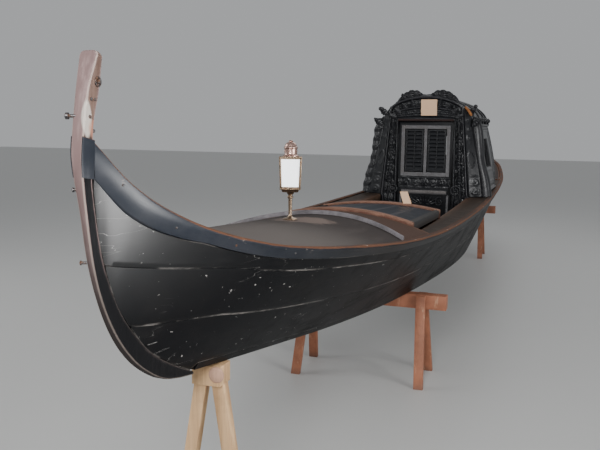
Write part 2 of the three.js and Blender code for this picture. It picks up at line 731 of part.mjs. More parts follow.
// Bench across the back of the cabin, with a seat cushion and a back cushion
const BENCH_FRONT = 6260;
const BENCH_BACK = 6640;
const BENCH_TOP = 960;
const BENCH_HALF = 372;
add('bench', cut(
  box([xAt(BENCH_BACK), -BENCH_HALF, FLOOR_TOP + FIT_GAP], [xAt(BENCH_FRONT), BENCH_HALF, BENCH_TOP]),
  box([xAt(BENCH_BACK) - 10, -BENCH_HALF + 24, FLOOR_TOP - 10],
    [xAt(BENCH_FRONT) - 24, BENCH_HALF - 24, BENCH_TOP - 24])), INSIDE_WOOD);
const SEAT_THICKNESS = 90;
const BACK_THICKNESS = 76;
const BACK_HEIGHT = 420;
const backRest = CABIN_BACK - BACK_DEPTH - 6;
add('seat_cushion', box(
  [xAt(backRest) + BACK_THICKNESS + 4, -BENCH_HALF + 10, BENCH_TOP + 1],
  [xAt(BENCH_FRONT) + 10, BENCH_HALF - 10, BENCH_TOP + SEAT_THICKNESS]), BLACK_LEATHER);
add('back_cushion', box(
  [xAt(backRest), -BENCH_HALF + 20, BENCH_TOP + 1],
  [xAt(backRest) + BACK_THICKNESS, BENCH_HALF - 20, BENCH_TOP + BACK_HEIGHT]), BLACK_LEATHER);

// Lantern on the foredeck
const LANTERN_AFT = 1607;
const LANTERN_BODY_BOTTOM = 1408;
const LANTERN_BODY_TOP = 1572;
const LANTERN_FOOT_RADIUS = 34;
const lanternX = xAt(LANTERN_AFT);
const lanternFoot = deckHeight(LANTERN_AFT - LANTERN_FOOT_RADIUS, 0) + 1;
const postProfile = [
  // radius, height over the foot
  [0, 0],
  [LANTERN_FOOT_RADIUS, 0],
  [LANTERN_FOOT_RADIUS, 8],
  [14, 16],
  [9, 30],
  [9, 60],
  [13, 66],
  [9, 72],
  [9, 105],
  [16, 118],
  [16, LANTERN_BODY_BOTTOM - lanternFoot - FIT_GAP],
  [0, LANTERN_BODY_BOTTOM - lanternFoot - FIT_GAP],
];
const turned = (profile, sides) => {
  const geometry = new THREE.LatheGeometry(profile.map(([r, z]) => new THREE.Vector2(r, z)), sides);
  return geometry.rotateX(Math.PI / 2);
};
add('lantern_post', turned(postProfile, 16).translate(lanternX, 0, lanternFoot), BRASS);

const LANTERN_TOP_HALF = 52;
const LANTERN_BOTTOM_HALF = 46;
const LANTERN_BAR = 8;
// The body stands turned a little to port
const LANTERN_TURN = Math.PI / 10;
const placed = geometry => geometry.rotateZ(LANTERN_TURN).translate(lanternX, 0, 0);
const lanternRing = (z, half) => [[-half, -half], [half, -half], [half, half], [-half, half]]
  .map(([x, y]) => [x, y, z]);
const lanternBox = (low, high, inset) => loft([
  lanternRing(low, LANTERN_BOTTOM_HALF - inset),
  lanternRing(high, LANTERN_TOP_HALF - inset),
]);
const paneCut = box(
  [-100, -LANTERN_BOTTOM_HALF + LANTERN_BAR + 2, LANTERN_BODY_BOTTOM + 12],
  [100, LANTERN_BOTTOM_HALF - LANTERN_BAR - 2, LANTERN_BODY_TOP - 12]);
const paneCutAcross = box(
  [-LANTERN_BOTTOM_HALF + LANTERN_BAR + 2, -100, LANTERN_BODY_BOTTOM + 12],
  [LANTERN_BOTTOM_HALF - LANTERN_BAR - 2, 100, LANTERN_BODY_TOP - 12]);
const lanternInside = lanternBox(LANTERN_BODY_BOTTOM + 12, LANTERN_BODY_TOP - 12, LANTERN_BAR);
add('lantern_frame', placed(cut(
  lanternBox(LANTERN_BODY_BOTTOM, LANTERN_BODY_TOP, 0), lanternInside, paneCut, paneCutAcross)), BRASS);
const glassOuter = lanternBox(LANTERN_BODY_BOTTOM + 13, LANTERN_BODY_TOP - 13, LANTERN_BAR + 1);
const glassInner = lanternBox(LANTERN_BODY_BOTTOM + 13.5, LANTERN_BODY_TOP - 8, LANTERN_BAR + 4);
add('lantern_glass', placed(cut(glassOuter, glassInner)), PANE);
const capProfile = [
  [0, 0],
  [40, 0],
  [33, 10],
  [31, 40],
  [24, 60],
  [12, 70],
  [0, 74],
];
add('lantern_cap', turned(capProfile, 16).translate(lanternX, 0, LANTERN_BODY_TOP + FIT_GAP), BRASS);

// Trestles: two four-legged ones amidships and aft, and a narrow prop under the bow
const TRESTLES = [
  { name: 'middle', aft: 3270, y: -40, reach: 570, footHalf: 430, look: TRESTLE_RED },
  { name: 'aft', aft: 8490, y: -80, reach: 560, footHalf: 400, look: TRESTLE_RED },
];
const BEAM_DEPTH = 96;
const BEAM_WIDTH = 84;
const LEG_WIDTH = 62;
const LEG_THICKNESS = 34;
const LEG_SPLAY = 150;
const bottomAt = aft => chineHeight(fromEnd(aft));

// Board from a foot on the floor to a head under or beside the beam
function board(footX, footY, headX, headY, headZ, width, thickness) {
  const level = (x, y, z) => [
    [x - thickness / 2, y - width / 2, z],
    [x + thickness / 2, y - width / 2, z],
    [x + thickness / 2, y + width / 2, z],
    [x - thickness / 2, y + width / 2, z],
  ];
  return loft([level(footX, footY, 0), level(headX, headY, headZ)]);
}
// Each trestle is one nailed-up piece: the legs lap the beam by a few millimetres
const LAP = 4;
for (const { name, aft, y, reach, footHalf, look } of TRESTLES) {
  const beamTop = Math.min(bottomAt(aft - BEAM_WIDTH / 2), bottomAt(aft + BEAM_WIDTH / 2)) - FIT_GAP;
  const x = xAt(aft);
  const beam = box(
    [x - BEAM_WIDTH / 2, y - reach, beamTop - BEAM_DEPTH],
    [x + BEAM_WIDTH / 2, y + reach, beamTop]);
  const legs = [1, -1].flatMap(side => [1, -1].map(toward => {
    const headX = x + toward * (BEAM_WIDTH / 2 + LEG_THICKNESS / 2 - LAP);
    return board(
      headX + toward * LEG_SPLAY, y + side * footHalf,
      headX, y + side * (footHalf - 30), beamTop - 4, LEG_WIDTH, LEG_THICKNESS);
  }));
  add(`trestle_${name}`, joined(beam, ...legs), look);
}

const PROP_AFT = 776;
const PROP_FOOT_Y = 158;
const PROP_LEG_HEAD_Y = 34;
const PROP_LEG_WIDTH = 48;
const PROP_LEG_THICKNESS = 40;
const PROP_HEAD_HALF = 56;
const PROP_HEAD_DEPTH = 88;
const PROP_HEAD_HEIGHT = 74;
const propTop = bottomAt(PROP_AFT + PROP_HEAD_DEPTH / 2) - FIT_GAP;
const propX = xAt(PROP_AFT);
const propLegs = [1, -1].map(side => board(
  propX, side * PROP_FOOT_Y, propX, side * PROP_LEG_HEAD_Y, propTop - PROP_HEAD_HEIGHT + LAP,
  PROP_LEG_WIDTH, PROP_LEG_THICKNESS));
add('bow_prop', joined(box(
  [propX - PROP_HEAD_DEPTH / 2, -PROP_HEAD_HALF, propTop - PROP_HEAD_HEIGHT],
  [propX + PROP_HEAD_DEPTH / 2, PROP_HEAD_HALF, propTop]), ...propLegs), TRESTLE_BARE);

export default boat;
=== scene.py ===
"""Finished look of a gondola boat with a carved cabin, standing on wooden trestles."""

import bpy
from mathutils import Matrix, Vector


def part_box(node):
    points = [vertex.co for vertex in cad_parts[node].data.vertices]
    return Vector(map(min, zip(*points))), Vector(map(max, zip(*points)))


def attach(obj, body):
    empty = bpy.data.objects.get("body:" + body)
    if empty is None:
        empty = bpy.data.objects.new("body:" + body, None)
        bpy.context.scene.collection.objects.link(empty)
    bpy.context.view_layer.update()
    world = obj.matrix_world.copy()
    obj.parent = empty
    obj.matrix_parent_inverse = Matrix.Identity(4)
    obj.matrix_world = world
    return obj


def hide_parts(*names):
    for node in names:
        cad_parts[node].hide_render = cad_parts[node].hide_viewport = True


bl_info = {
    "name": "Gondola boat finishes",
    "version": (1, 0, 0),
    "blender": (4, 5, 0),
    "location": "3D View > Sidebar > Gondola",
    "description": "Builds the visible pieces and finishes of a gondola boat around its packed model",
    "category": "Object",
}

import math

import bmesh
import bpy
from mathutils import Matrix, Vector

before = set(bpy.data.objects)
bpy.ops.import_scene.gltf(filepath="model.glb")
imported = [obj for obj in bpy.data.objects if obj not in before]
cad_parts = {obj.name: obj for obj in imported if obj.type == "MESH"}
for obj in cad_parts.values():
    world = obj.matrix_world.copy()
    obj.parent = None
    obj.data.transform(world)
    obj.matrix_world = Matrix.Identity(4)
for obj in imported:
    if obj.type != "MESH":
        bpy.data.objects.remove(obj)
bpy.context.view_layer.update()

# The hull's shape in metres. "aft" is a distance aft of x = 5.3, 17 mm ahead of the stem, and "end" is the
# distance from there or from x = -5.3, whichever is nearer
LENGTH = 10.6
PLANK = 0.022
BOTTOM_START = 0.607
BOTTOM_THICKNESS = 0.028
BOTTOM_SEAM = 0.002
SIDE_BULGE = 0.012
RABBET_HALF = 0.020
RABBET_END = 0.600
POST_EASE = 0.004
RAIL_START = 0.063
RAIL_PROUD = 0.013
RAIL_FADE_START = 0.060
RAIL_FADE = 0.120
RAIL_END_LIFT = 0.0012
RAIL_INBOARD = 0.030
RAIL_DEPTH = 0.046
RAIL_DEPTH_AT_STEM = 0.100
RAIL_TAPER_END = 0.420
DECK_BELOW_RAIL = 0.012
DECK_SEAM = 0.003
DECK_THICKNESS = 0.018
DECK_START = 0.170
DECK_RIM = 0.035
FORE_ARCH_AFT = 2.455
WELL_ARCH_AFT = 3.500
STERN_ARCH_AFT = 7.600
ARCH_WIDTH = 0.044
ARCH_LIP = 0.022
ARCH_DEPTH = 0.060
HAIR_GAP = 0.0004
OPENING_HALF = 0.425
FLOOR_TOP = 0.690

SHEER = [
    # from end, half breadth, height
    (0.066, 0.024, 1.658),
    (0.160, 0.064, 1.547),
    (0.318, 0.130, 1.443),
    (0.636, 0.257, 1.331),
    (0.954, 0.362, 1.274),
    (1.272, 0.440, 1.237),
    (1.696, 0.500, 1.192),
    (2.120, 0.541, 1.158),
    (2.544, 0.572, 1.134),
    (2.968, 0.594, 1.119),
    (3.392, 0.608, 1.108),
    (3.816, 0.619, 1.100),
    (4.240, 0.627, 1.094),
    (4.770, 0.634, 1.090),
    (5.300, 0.636, 1.088),
]
CHINE = [
    # from end, half breadth, height
    (0.600, 0.020, 0.878),
    (0.954, 0.063, 0.835),
    (1.272, 0.100, 0.797),
    (1.696, 0.143, 0.745),
    (2.120, 0.184, 0.700),
    (2.544, 0.222, 0.660),
    (2.968, 0.252, 0.624),
    (3.392, 0.284, 0.596),
    (3.816, 0.322, 0.577),
    (4.240, 0.362, 0.565),
    (4.770, 0.405, 0.558),
    (5.300, 0.425, 0.555),
]
RABBET = [
    # from end, height
    (0.046, 1.700),
    (0.057, 1.555),
    (0.066, 1.480),
    (0.080, 1.395),
    (0.101, 1.331),
    (0.131, 1.257),
    (0.159, 1.203),
    (0.224, 1.126),
    (0.303, 1.043),
    (0.362, 1.003),
    (0.431, 0.962),
    (0.520, 0.916),
    (0.600, 0.877),
]
SEAMS = [
    # start on the rabbet, share of the side's height
    (0.590, 0.0),
    (0.218, 0.46),
    (0.101, 0.88),
    (0.056, 1.0),
]
CAMBER = [
    # from end, rise of the deck's centre over its edge
    (0.170, 0.008),
    (0.600, 0.036),
    (1.600, 0.088),
    (2.100, 0.102),
    (2.450, 0.106),
    (3.500, 0.078),
]
STEM = [
    # front from end, front height, back from end, back height, front half width, back half width
    (0.077, 1.876, 0.108, 1.872, 0.028, 0.024),
    (0.047, 1.790, 0.093, 1.790, 0.020, 0.023),
    (0.028, 1.700, 0.066, 1.700, 0.018, 0.022),
    (0.017, 1.625, 0.062, 1.620, 0.017, 0.022),
    (0.022, 1.560, 0.057, 1.555, 0.014, 0.020),
    (0.037, 1.475, 0.066, 1.480, 0.010, 0.020),
    (0.062, 1.340, 0.090, 1.363, 0.009, 0.020),
    (0.098, 1.231, 0.131, 1.257, 0.009, 0.020),
    (0.148, 1.135, 0.190, 1.163, 0.011, 0.020),
    (0.209, 1.056, 0.262, 1.085, 0.013, 0.020),
    (0.289, 0.984, 0.345, 1.014, 0.014, 0.020),
    (0.400, 0.916, 0.440, 0.957, 0.015, 0.020),
    (0.500, 0.884, 0.522, 0.915, 0.017, 0.020),
    (0.600, 0.864, 0.600, 0.876, 0.020, 0.020),
]
STERNPOST_HEAD = [
    (0.072, 1.800, 0.092, 1.796, 0.012, 0.012),
    (0.040, 1.750, 0.078, 1.748, 0.016, 0.020),
]

# The cabin
CABIN_FRONT = 5.400
CABIN_BACK = 6.700
FRONT_X = -0.100
CORNER_DEPTH = 0.075
EAVES_TOP = 1.760
ROOF_TOP = 2.032
ROOF_RISE = ROOF_TOP - EAVES_TOP
CABIN_SIDE = [
    # height, half breadth at the front, half breadth at the back
    (1.090, 0.556, 0.575),
    (1.300, 0.522, 0.566),
    (1.500, 0.481, 0.531),
    (1.760, 0.431, 0.466),
]
DOORWAY_HALF = 0.2665
DOORWAY_TOP = 1.7865
DOOR_FACE = -0.120
WINDOW_HALF = 0.200
WINDOW_BOTTOM = 1.300
WINDOW_TOP = 1.715
MULLION = 0.028
SIDES = (("port", 1), ("starboard", -1))


def curve(table, index):
    """Smooth curve through one column of a table, with slopes from the neighbouring rows."""
    rows = [(row[0], row[index]) for row in table]
    chords = [(b[1] - a[1]) / (b[0] - a[0]) for a, b in zip(rows, rows[1:])]
    slopes = [chords[0]] + [(a + b) / 2 for a, b in zip(chords, chords[1:])] + [chords[-1]]

    def value(at):
        if at >= rows[-1][0]:
            return rows[-1][1]
        i = next((k for k, row in enumerate(rows) if row[0] >= at), 0)
        if i == 0:
            return rows[0][1] + chords[0] * (at - rows[0][0])
        (x0, a), (x1, b) = rows[i - 1], rows[i]
        width = x1 - x0
        s = (at - x0) / width
        ta, tb = slopes[i - 1] * width, slopes[i] * width
        return a + s * (ta + s * (3 * (b - a) - 2 * ta - tb + s * (2 * (a - b) + ta + tb)))

    return value


sheer_half = curve(SHEER, 1)
sheer_height = curve(SHEER, 2)
chine_half = curve(CHINE, 1)
chine_height = curve(CHINE, 2)
rabbet_height = curve(RABBET, 1)
camber_rise = curve(CAMBER, 1)
cabin_front_half = curve(CABIN_SIDE, 1)
cabin_back_half = curve(CABIN_SIDE, 2)
FRONT_EAVES_HALF = cabin_front_half(EAVES_TOP)


def x_at(aft):
    return LENGTH / 2 - aft


def from_end(aft):
    return min(aft, LENGTH - aft)


def aft_of(end, stern):
    """Distance aft of a place that is given from the bow's or the stern's end."""
    return LENGTH - end if stern else end


def rail_depth(end):
    s = min(1.0, max(0.0, (end - SHEER[0][0]) / (RAIL_TAPER_END - SHEER[0][0])))
    return RAIL_DEPTH_AT_STEM + (RAIL_DEPTH - RAIL_DEPTH_AT_STEM) * s


def rail_proud(end):
    """How far a rail stands out of the planking, down to nothing at the posts."""
    return RAIL_PROUD * min(1.0, max(0.0, (end - RAIL_FADE_START) / RAIL_FADE))


def side_half(end, z):
    """Half breadth of the planking's outside at a height."""
    near_post = end < RABBET_END
    low_half = RABBET_HALF if near_post else chine_half(end)
    low_z = rabbet_height(end) if near_post else chine_height(end)
    s = (z - low_z) / (sheer_height(end) - low_z)
    bulge = SIDE_BULGE * min(1.0, end / 2) * 4 * s * (1 - s)
    return low_half + (sheer_half(end) - low_half) * s + bulge


def seam_height(seam, end):
    """Height of a seam between strakes, which sweeps up to its start on the rabbet."""
    start, share = seam
    at = max(end, RABBET_END)
    low = chine_height(at) + BOTTOM_THICKNESS
    high = sheer_height(at) - rail_depth(at)
    aft_height = low + (high - low) * share
    if end >= RABBET_END:
        return aft_height
    if share == 1:
        return sheer_height(end) - rail_depth(end)
    s = max(0.0, (end - start) / (RABBET_END - start))
    start_height = rabbet_height(start)
    return start_height + (aft_height - start_height) * s**0.8


def deck_half(end):
    return sheer_half(end) - RAIL_INBOARD - DECK_SEAM


def deck_edge(end):
    return sheer_height(end) - DECK_BELOW_RAIL


def deck_height(end, y):
    return deck_edge(end) + camber_rise(end) * (1 - (y / deck_half(end)) ** 2)


def cabin_half(aft, z):
    s = (aft - CABIN_FRONT) / (CABIN_BACK - CABIN_FRONT)
    height = min(z, EAVES_TOP)
    return cabin_front_half(height) * (1 - s) + cabin_back_half(height) * s


def spread(start, stop, step):
    """Evenly spaced values from one to the other, both included, no further apart than the step."""
    count = max(1, math.ceil(abs(stop - start) / step))
    return [start + (stop - start) * i / count for i in range(count + 1)]


def mirrored_stations(*runs):
    """Places from bow to stern, alike at both ends, from runs of a start and a step up to the middle."""
    starts = [start for start, _ in runs] + [LENGTH / 2]
    stations = [starts[0]]
    for (start, step), stop in zip(runs, starts[1:]):
        stations += spread(start, stop, step)[1:]
    return stations + [LENGTH - aft for aft in reversed(stations[:-1])]


# Sizes and colours that a user may change
def length(name, description, default, least=0.0):
    return bpy.props.FloatProperty(
        name=name, description=description, default=default, min=least, unit="LENGTH")


class GondolaSizes(bpy.types.PropertyGroup):
    """Sizes of the finished pieces."""

    seam_groove: length("Seam groove", "Depth of the groove between two planks", 0.0014)
    station_step: length("Station step", "Distance between the hull's modelled stations", 0.07, 0.02)
    carving_step: length("Carving step", "Distance between points along the carved bands", 0.006, 0.002)
    carving_depth: length("Carving depth", "Height of the foliage over its ground", 0.016)
    slat_pitch: length("Slat pitch", "Distance between the louvre slats of the door's shutters", 0.036, 0.01)
    frame_width: length("Window frame", "Width of the grey frame round the door's window", 0.033, 0.01)
    rib_spacing: length("Rib spacing", "Distance between the ribs inside the wells", 0.34, 0.1)
    cushion_crown: length("Cushion crown", "Rise of a cushion's middle over its edge", 0.022)


def colour(name, description, default):
    return bpy.props.FloatVectorProperty(
        name=name, description=description, default=default, size=3, min=0.0, max=1.0, subtype="COLOR")


class GondolaColours(bpy.types.PropertyGroup):
    """Colours of the finishes."""

    black_paint: colour("Black paint", "Gloss paint of the hull", (0.0048, 0.0050, 0.0058))
    scuff_grey: colour("Scuff grey", "Dusty scuffs on the hull", (0.026, 0.025, 0.0245))
    # Slate: the rails' paint. Towards the bow its blue-grey is partly a painted sheen, and aft it is darkened
    # to near black.
    rail_slate_sheen: colour("Slate", "Faded paint of the sheer rails", (0.016, 0.020, 0.028))
    bare_brown: colour("Bare brown", "Wood showing where the rails are rubbed", (0.115, 0.052, 0.030))
    canvas: colour("Deck canvas", "Painted canvas of the decks", (0.036, 0.028, 0.026))
    tan_edge: colour("Tan edge", "Worn edges of the decks", (0.135, 0.070, 0.046))
    hatch_blue: colour("Hatch blue", "Faded paint of the hatch cover", (0.014, 0.019, 0.029))
    arch_red: colour("Arch red", "Worn red of the arched beams", (0.105, 0.043, 0.030))
    side_deck: colour("Side deck", "Worn paint of the side decks", (0.048, 0.032, 0.023))
    carving_black: colour("Carving black", "Gloss paint of the carved cabin", (0.0115, 0.0122, 0.0145))
    grey_frame: colour("Grey frame", "Rubbed grey frame of the door's window", (0.180, 0.176, 0.182))
    moulding_grey: colour("Moulding grey", "Pale moulding across the foredeck", (0.20, 0.185, 0.195))
    inside_wood: colour("Inside wood", "Dark oiled boards inside", (0.045, 0.026, 0.017))
    leather: colour("Leather", "Leather of the cushions", (0.012, 0.0115, 0.012))
    brass: colour("Brass", "Tarnished brass of the lantern", (0.40, 0.30, 0.21))
    trestle_red: colour("Trestle red", "Paint of the trestles", (0.37, 0.140, 0.074))
    pine: colour("Pine", "Bare wood of the bow prop", (0.62, 0.41, 0.23))
    card: colour("Card", "Blank paper cards", (0.84, 0.56, 0.36))
    floor: colour("Floor", "Studio floor", (0.52, 0.52, 0.51))


# Paints, woods, leather and metals
class Field:
    """One output of a shader tree that takes part in Python sums."""

    def __init__(self, finish, socket):
        self.finish = finish
        self.socket = socket

    def math(self, operation, *values):
        return self.finish.node("ShaderNodeMath", {"operation": operation}, dict(enumerate(values)))

    def __add__(self, other):
        return self.math("ADD", self, other)

    __radd__ = __add__

    def __sub__(self, other):
        return self.math("SUBTRACT", self, other)

    def __rsub__(self, other):
        return self.math("SUBTRACT", other, self)

    def __mul__(self, other):
        return self.math("MULTIPLY", self, other)

    __rmul__ = __mul__

    def __abs__(self):
        return self.math("ABSOLUTE", self)


class Finish:
    """A material while its shader tree is put together."""

    def __init__(self, name):
        self.material = bpy.data.materials.new(name)
        self.material.use_nodes = True
        self.tree = self.material.node_tree
        self.shader = self.tree.nodes["Principled BSDF"]
        self.coordinates = None

    def node(self, kind, settings, inputs, output=0):
        made = self.tree.nodes.new(kind)
        for name, value in settings.items():
            setattr(made, name, value)
        for key, value in inputs.items():
            self.feed(made.inputs[key], value)
        return Field(self, made.outputs[output])

    def feed(self, socket, value):
        if isinstance(value, Field):
            self.tree.links.new(value.socket, socket)
        elif socket.type == "RGBA":
            socket.default_value = (*value, 1.0)
        else:
            socket.default_value = value

    def vector_math(self, operation, *values, output=0):
        return self.node("ShaderNodeVectorMath", {"operation": operation}, dict(enumerate(values)), output)

    def place(self):
        if self.coordinates is None:
            self.coordinates = self.node("ShaderNodeTexCoord", {}, {}, "Object")
        return self.coordinates

    def stretched(self, x, y, z):
        return self.vector_math("MULTIPLY", self.place(), (x, y, z))

    def axis(self, index):
        return self.node("ShaderNodeSeparateXYZ", {}, {0: self.place()}, index)

    def noise(self, scale, detail, rough=0.55, at=None):
        return self.node("ShaderNodeTexNoise", {}, {
            "Vector": at or self.place(), "Scale": scale, "Detail": detail, "Roughness": rough})

    def step(self, value, low, high):
        """Smooth step from 0 at the low value to 1 at the high one."""
        return self.node("ShaderNodeMapRange", {"interpolation_type": "SMOOTHSTEP"}, {
            "Value": value, "From Min": low, "From Max": high})

    def mix(self, factor, a, b):
        return self.node("ShaderNodeMix", {"data_type": "RGBA"}, {0: factor, 6: a, 7: b}, 2)

    def worn(self):
        return self.node("ShaderNodeAttribute", {"attribute_name": "worn"}, {}, "Fac")

    def near(self, x, y, z, scale):
        """Distance from a point, with each axis scaled."""
        offset = self.vector_math("SUBTRACT", self.place(), (x, y, z))
        return self.vector_math("LENGTH", self.vector_math("MULTIPLY", offset, scale), output="Value")

    def bump(self, height, distance):
        normal = self.node("ShaderNodeBump", {}, {"Height": height, "Distance": distance, "Strength": 1.0})
        self.feed(self.shader.inputs["Normal"], normal)

    def done(self, **values):
        """Feeds the shader's sockets and returns the material. Names have _ for a space."""
        for name, value in values.items():
            self.feed(self.shader.inputs[name.replace("_", " ")], value)
        return self.material


def dimmed(tint, share):
    return tuple(value * share for value in tint)


def wood_grain(finish, along):
    """Streaks along one axis, from 0 to 1."""
    squeeze = [40.0] * 3
    squeeze[along] = 1.6
    streaks = finish.noise(1.0, 6.0, 0.62, finish.stretched(*squeeze))
    squeeze[along] = 0.5
    squeeze = [k * 0.22 for k in squeeze]
    return streaks * 0.6 + finish.noise(1.0, 3.0, 0.5, finish.stretched(*squeeze)) * 0.4


def scratches(finish):
    """Thin bright lines along the planking, from 0 to 1."""
    lines = finish.noise(1.0, 2.0, 0.5, finish.stretched(1.3, 9.0, 26.0))
    thin = 1 - finish.step(abs(lines - 0.5), 0.0, 0.0035)
    patches = finish.step(finish.noise(2.6, 3.0), 0.51, 0.61)
    return thin * patches


def hull_paint(colours):
    finish = Finish("hull_gloss_black")
    dust = finish.step(finish.noise(1.0, 7.0, 0.68, finish.stretched(1.1, 4.0, 11.0)), 0.50, 0.78)
    grime = finish.step(finish.noise(4.5, 6.0, 0.7), 0.45, 0.75)
    chips = finish.step(finish.noise(75.0, 3.0, 0.6, finish.stretched(0.5, 1.0, 1.0)), 0.70, 0.73)
    lines = scratches(finish)
    worn = finish.worn()
    edge = finish.step(worn, 0.84, 0.98) * finish.step(
        finish.noise(9.0, 5.0, 0.7, finish.stretched(0.3, 1.0, 1.0)), 0.44, 0.66)
    base = finish.mix(dust * 0.5, colours.black_paint, colours.scuff_grey)
    base = finish.mix(grime * 0.25, base, (0.016, 0.0145, 0.0135))
    base = finish.mix(edge * 0.7, base, (0.22, 0.205, 0.19))
    base = finish.mix(lines * 0.7, base, (0.32, 0.31, 0.295))
    base = finish.mix(chips * 0.8, base, (0.40, 0.39, 0.37))
    rough = 0.40 + dust * 0.20 + grime * 0.12 + lines * 0.2
    varnish = finish.step(finish.axis(0), 4.50, 5.20) * finish.step(finish.axis(2), 1.07, 1.37)
    wave = finish.noise(1.0, 2.0, 0.5, finish.stretched(1.2, 3.0, 5.0))
    orange_peel = finish.noise(160.0, 2.0)
    finish.bump(wave * 2.2 + orange_peel * 0.12 + grime * 0.15, 0.0014)
    return finish.done(
        Base_Color=base, Roughness=rough, Specular_IOR_Level=0.05, Coat_Weight=varnish, Coat_Roughness=0.28)


def rail_paint(colours):
    finish = Finish("rail_rubbed_paint_with_painted_sheen")
    worn = finish.worn()
    patchy = finish.noise(7.0, 5.0, 0.7, finish.stretched(0.4, 1.0, 1.0))
    rubbed = finish.step(worn + (patchy - 0.5) * 0.9, 0.62, 0.95)
    speck = finish.step(finish.noise(42.0, 3.0, 0.6, finish.stretched(0.4, 1.0, 1.0)), 0.66, 0.70)
    base = finish.mix(finish.step(patchy, 0.35, 0.7) * 0.6, colours.rail_slate_sheen, (0.045, 0.047, 0.055))
    # Near black aft, slate towards the bow: the paler blue-grey at the bow is a painted sheen.
    base = finish.mix(1 - finish.step(finish.axis(0), 3.6, 5.0), base, (0.0095, 0.0098, 0.0105))
    base = finish.mix(rubbed, base, colours.bare_brown)
    base = finish.mix(speck * 0.6 * worn, base, (0.36, 0.30, 0.25))
    finish.bump(patchy + wood_grain(finish, 0) * 0.3, 0.0012)
    x = finish.axis(0)
    varnish = finish.step(x, 4.94, 5.20) * (1 - finish.step(x, 5.12, 5.235) * 0.75)
    return finish.done(
        Base_Color=base, Roughness=0.40 + rubbed * 0.25, Specular_IOR_Level=0.08, Coat_Weight=varnish,
        Coat_Roughness=0.30)


def stem_paint(colours):
    finish = Finish("stem_worn_paint")
    worn = finish.worn()
    patchy = finish.noise(9.0, 6.0, 0.7)
    rubbed = finish.step(worn + (patchy - 0.5) * 0.8, 0.45, 0.8)
    streak = finish.step(wood_grain(finish, 2), 0.42, 0.62)
    bare = finish.mix(streak, (0.20, 0.135, 0.130), (0.32, 0.235, 0.225))
    low = 1 - finish.step(finish.axis(2), 1.15, 1.74)
    bare = finish.mix(low, bare, (0.034, 0.028, 0.027))
    side = finish.mix(streak, (0.135, 0.085, 0.068), (0.24, 0.160, 0.130))
    head = finish.step(finish.axis(2) + (patchy - 0.5) * 0.06, 1.655, 1.70)
    base = finish.mix(patchy * 0.5, colours.black_paint, (0.014, 0.0135, 0.015))
    base = finish.mix(head, base, side)
    base = finish.mix(rubbed, base, bare)
    # Pale line along the edges of the fore and back faces: a painted highlight, fainter lower down.
    rim = finish.step(worn, 0.70, 0.80) * (1 - finish.step(worn, 0.9, 0.98))
    base = finish.mix(rim * (0.55 - low * 0.35), base, (0.42, 0.35, 0.30))
    patch = finish.near(5.260, 0.0225, 1.715, (55.0, 60.0, 18.0))
    pale = 1 - finish.step(patch + (patchy - 0.5) * 0.6, 0.75, 1.05)
    base = finish.mix(pale * 0.9, base, (0.52, 0.47, 0.42))
    pink = finish.near(5.236, 0.024, 1.690, (42.0, 8.0, 34.0))
    base = finish.mix((1 - finish.step(pink, 0.5, 1.0)) * 0.6, base, (0.42, 0.18, 0.11))
    finish.bump(patchy + streak * 0.4, 0.0015)
    return finish.done(Base_Color=base, Roughness=0.42 + rubbed * 0.25, Specular_IOR_Level=0.06)


def deck_canvas(colours):
    finish = Finish("deck_painted_canvas")
    cloud = finish.noise(2.2, 5.0, 0.6)
    streaks = finish.noise(1.0, 5.0, 0.6, finish.stretched(1.4, 9.0, 9.0))
    weave = finish.node("ShaderNodeTexVoronoi", {}, {"Vector": finish.place(), "Scale": 420.0})
    rim = finish.step(finish.worn() + (finish.noise(16.0, 5.0, 0.7) - 0.5) * 0.7, 0.5, 0.8)
    base = finish.mix(finish.step(cloud, 0.35, 0.7), colours.canvas, (0.052, 0.043, 0.040))
    base = finish.mix(finish.step(streaks, 0.5, 0.75) * 0.5, base, (0.085, 0.070, 0.064))
    x, y = finish.axis(0), finish.axis(1)
    behind = 1 - finish.step(x - y * y * 0.77 + (streaks - 0.5) * 0.04, 3.155, 3.185)
    behind = behind * finish.step(x, 2.0, 2.2)
    base = finish.mix(behind * 0.8, base, (0.072, 0.038, 0.025))
    ring = finish.near(3.60, 0.04, 1.28, (3.4, 4.6, 4.0))
    pale = 1 - finish.step(ring + (finish.noise(9.0, 6.0, 0.75) - 0.5) * 1.3, 0.42, 0.72)
    base = finish.mix(pale * 0.7, base, (0.22, 0.165, 0.14))
    glare = finish.step(x, 3.55, 4.30)
    base = finish.mix(glare * 0.75, base, (0.135, 0.118, 0.108))
    base = finish.mix(rim, base, colours.tan_edge)
    finish.bump(cloud * 1.5 + streaks * 0.7 + weave * 0.15, 0.0012)
    return finish.done(Base_Color=base, Roughness=0.60 + cloud * 0.2, Specular_IOR_Level=0.08)


def worn_paint(name, paint, bare, along, rough, wear_low=0.5, wear_high=0.85):
    """Painted wood rubbed through where it is worn, with its grain along one axis."""
    finish = Finish(name)
    grain = wood_grain(finish, along)
    patchy = finish.noise(12.0, 6.0, 0.7)
    rubbed = finish.step(finish.worn() + (patchy - 0.5) * 0.9, wear_low, wear_high)
    base = finish.mix(finish.step(patchy, 0.3, 0.7), paint, dimmed(paint, 0.55))
    wood = finish.mix(finish.step(grain, 0.4, 0.6), bare, dimmed(bare, 0.7))
    base = finish.mix(rubbed, base, wood)
    finish.bump(grain * 1.2 + patchy * 0.6, 0.0012)
    return finish.done(Base_Color=base, Roughness=rough + patchy * 0.12, Specular_IOR_Level=0.1)


def raw_wood(name, light, dark, along, rough):
    """Bare or oiled boards with their grain along one axis."""
    finish = Finish(name)
    grain = wood_grain(finish, along)
    patchy = finish.noise(6.0, 5.0, 0.65)
    base = finish.mix(finish.step(grain, 0.38, 0.64), light, dark)
    base = finish.mix(finish.step(patchy, 0.5, 0.8) * 0.45, base, dimmed(dark, 0.5))
    finish.bump(grain + patchy * 0.4, 0.001)
    return finish.done(Base_Color=base, Roughness=rough + grain * 0.15, Specular_IOR_Level=0.12)


